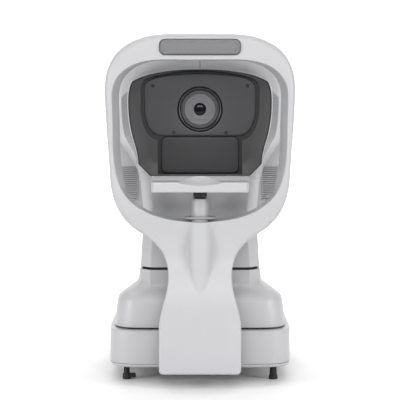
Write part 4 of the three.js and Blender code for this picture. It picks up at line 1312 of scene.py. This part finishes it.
def build_optics():
    low, high = LENS_LOW[1], LENS_HIGH[1]
    axis = (0, 0, EYE_Z)
    rim = [(26.6, high), (26.6, low + 1.2), (27.4, low + 0.3), (28.3, low), (29.3, low + 0.3),
           (29.7, low + 1.0), (29.7, high), (26.6, high)]
    ring = turned("lens_ring_shape", rim, axis, "y", 128)
    finish_piece(ring, "black_trim", "head", "lens_ring")
    low, high = place("lens_disc")
    front, back = low[1], high[1]
    lip = [(8.3, back), (8.3, front + 1.8), (8.9, front + 0.9), (9.6, front + 0.6),
           (14.2, front + 0.6), (14.6, front + 0.9), (15.4, front + 0.9), (15.8, front + 0.6),
           (20.2, front + 0.7), (20.9, front + 0.5), (21.3, front + 0.05), (22.2, front),
           (25.6, front + 0.1), (26.2, front + 0.6), (26.2, back), (8.3, back)]
    disc = turned("lens_disc_shape", lip, axis, "y", 128)
    finish_piece(disc, "dark_trim", "head", "lens_disc", look=OUTER_DISC)
    disc.data.materials.append(INNER_DISC)
    for polygon in disc.data.polygons:
        middle = polygon.center
        if math.hypot(middle.x, middle.z - EYE_Z * MM) < 0.0207:
            polygon.material_index = 1
    low, high = place("objective_lens")
    front, back = low[1], high[1]
    dome = [(0, front), (3, front + 0.1), (5.5, front + 0.45), (7.6, front + 1.1), (7.9, back),
            (0, back)]
    lens = turned("objective_lens_shape", dome, axis, "y", 64)
    finish_piece(lens, "coated_glass", "head", "objective_lens", angle=50)


# ---- Operator's side ----
def build_rear():
    low, high = place("head_rear_panel")
    rear = HEAD["rear"]
    outline = front_rect(low, high, 26.7)
    door = rounded_rect(-39, 39, 256, 300, 2)
    panel = plate("head_rear_panel_shape", outline, -(rear - 3), -rear, 0.3, 0.8,
                  [(door, 0.4)], 14.0, lay=lambda u, v, w: np.stack([u, -w, v], axis=-1))
    pin_y, pin_z = centre_of("display_pin")[1:]
    for side in (-1, 1):
        x0, x1 = sorted((side * 60, side * 68))
        shape = curve((rear - 1, pin_z - 6), (pin_y, pin_z - 6), (pin_y + 6, pin_z - 6,
                      pin_y + 6, pin_z), (pin_y + 6, pin_z + 6, pin_y, pin_z + 6),
                      (rear - 1, pin_z + 8), steps=10)
        lug = loft("lug", "x", [(x0, inset(shape, 0.5)), (x0 + 0.5, shape), (x1 - 0.5, shape),
                                (x1, inset(shape, 0.5))])
        join(panel, lug)
    bore = rod("x", pin_y, pin_z, PIN_BORE, -70, 70, 32)
    cut(panel, bore)
    finish_piece(panel, "white_shell", "head", "head_rear_panel")


def build_display():
    low, high = place("display_housing")
    glass_low, glass_high = place("display_glass")
    pin_y, pin_z = centre_of("display_pin")[1:]
    front, back, top = low[1], high[1], 445.0
    outline = densify(rounded_rect(low[0], high[0], low[2], top, 9), 4)
    loops = [(outline, outline, quarter(1.5), quarter(3.0, 5))]
    body = slab("display_housing_shape", loops, level(-front), level(-back), upright, 14)
    arc = ellipse(pin_y, pin_z, 6, 6, 48)
    knuckle = prism("knuckle", "x", arc, -59.5, 59.5)
    web = block("web", (-59.5, pin_y - 3, top - 6), (59.5, pin_y + 4, pin_z), 0.6)
    join(body, join(knuckle, web))
    seat = prism("seat", "y", front_rect(glass_low, glass_high, 3, 0.4),
                 glass_low[1] - 0.3, back + 3)
    cut(body, rod("x", pin_y, pin_z, PIN_BORE, -70, 70, 32), seat)
    finish_piece(body, "white_shell", "display", "display_housing")
    outline = front_rect(glass_low, glass_high, 2.6)
    pane = plate("display_glass_shape", outline, glass_low[1], glass_high[1], 0.2, 0.5, (), 20.0)
    finish_piece(pane, "screen_glass", "display", "display_glass")


def build_printer():
    low, high = place("printer_door")
    outline = front_rect(low, high, 4)
    slot_hole = rounded_rect(-30, 30, high[2] - 9, high[2] - 7, 0.9, 4)
    door = plate("printer_door_shape", outline, low[1], high[1], 0.5, 1.4,
                 [(slot_hole, 0.4)], 10.0)
    dent = turned("dent", [(0, -2.1), (5, -1.9), (8.6, -0.7), (10, 1.5), (0, 1.5)],
                  (0, high[1], low[2] + 13), "y", 48)
    cut(door, dent)
    finish_piece(door, "white_shell", "printer_door", "printer_door")
    low, high = place("paper_roll")
    y, z = (low[1] + high[1]) / 2, (low[2] + high[2]) / 2
    reel = [(6.0, low[0]), (19.5, low[0]), (20.0, low[0] + 0.5), (20.0, high[0] - 0.5),
            (19.5, high[0]), (6.0, high[0]), (6.0, low[0])]
    roll = turned("paper_roll_shape", reel, (0, y, z), "x", 96)
    finish_piece(roll, "thermal_paper", "paper_roll", "paper_roll")


# ---- What stays as the CAD made it ----
def dress_frame():
    """Each CAD node that still shows gets its slot's material and softened edges."""
    slots = {part["node"]: part["material_slot"] for part in frame["record"]["subparts"]}
    for node, obj in frame["nodes"].items():
        if obj.hide_render:
            continue
        obj.data.materials.clear()
        obj.data.materials.append(LOOKS[slots[node]])
        weld = obj.modifiers.new("weld", "WELD")
        weld.merge_threshold = 1e-5
        soften = obj.modifiers.new("soften", "BEVEL")
        soften.width = 0.4 * MM
        soften.segments = 2
        soften.limit_method = "ANGLE"
        soften.angle_limit = math.radians(40)
        soften.harden_normals = True


# ---- Room, light and camera ----
def build_room():
    floor_points, faces = [], []
    profile = curve((-1500, 0), (1600, 0), (3000, 0, 3000, 1400), (3000, 5000), steps=24)
    for y, z in profile:
        floor_points += [(-FLOOR_HALF, y, z), (FLOOR_HALF, y, z)]
    for i in range(len(profile) - 1):
        faces.append((2 * i, 2 * i + 1, 2 * i + 3, 2 * i + 2))
    floor = new_object("studio_floor", floor_points, faces)
    shade(floor, 60)
    n = Nodes("studio_paper")
    grain = n.noise(3.0, 3.0)
    colour = n.mix(grain, (0.94, 0.94, 0.94, 1), (0.96, 0.96, 0.96, 1))
    floor.data.materials.append(n.finish(colour, n.ramp(grain, 0, 1, 0.85, 0.95)))


def area_light(name, location, target, width, height, power):
    data = bpy.data.lights.new(name, "AREA")
    data.shape = "RECTANGLE"
    data.size = width
    data.size_y = height
    data.energy = power
    lamp = bpy.data.objects.new(name, data)
    SCENE.collection.objects.link(lamp)
    lamp.location = location
    way = Vector(target) - Vector(location)
    lamp.rotation_euler = way.to_track_quat("-Z", "Y").to_euler()


def build_light():
    world = bpy.data.worlds.new("studio")
    SCENE.world = world
    world.use_nodes = True
    background = world.node_tree.nodes["Background"]
    background.inputs["Color"].default_value = (1.0, 1.0, 1.0, 1.0)
    seen = world.node_tree.nodes.new("ShaderNodeLightPath").outputs["Is Camera Ray"]
    strength = world.node_tree.nodes.new("ShaderNodeMapRange")
    strength.inputs["To Min"].default_value = 0.34
    strength.inputs["To Max"].default_value = 1.0
    world.node_tree.links.new(seen, strength.inputs["Value"])
    world.node_tree.links.new(strength.outputs["Result"], background.inputs["Strength"])
    middle = (0, -0.05, 0.28)
    area_light("above", (0, -2.0, 2.3), middle, 1.6, 0.9, 13)
    area_light("fill", (0, -2.5, 1.1), middle, 1.4, 0.5, 16)
    area_light("left", (-2.1, -1.7, 0.9), middle, 0.7, 1.0, 31)
    area_light("right", (2.1, -1.7, 0.9), middle, 0.7, 1.0, 31)
    area_light("wash", (0, 1.0, 2.6), (0, 3.0, 0.8), 4.0, 1.5, 120)
    SCENE.view_settings.view_transform = "Standard"
    SCENE.view_settings.look = "None"


def build_camera():
    data = bpy.data.cameras.new("camera")
    data.sensor_width = 36.0
    data.lens = 18.0 / math.tan(math.radians(VIEW_ANGLE / 2))
    data.clip_end = 50.0
    camera = bpy.data.objects.new("camera", data)
    SCENE.collection.objects.link(camera)
    camera.location = (0.0, RING_FRONT * MM - VIEW_DISTANCE, EYE_Z * MM)
    camera.rotation_euler = (math.radians(90 - VIEW_PITCH), 0.0, 0.0)
    SCENE.camera = camera


for build in (build_face_frame, build_pad, build_chin_rest, build_base, build_inlet, build_feet,
              build_stage, build_joystick, build_head, build_window, build_optics, build_rear,
              build_display, build_printer, dress_frame, build_room, build_light, build_camera):
    build()
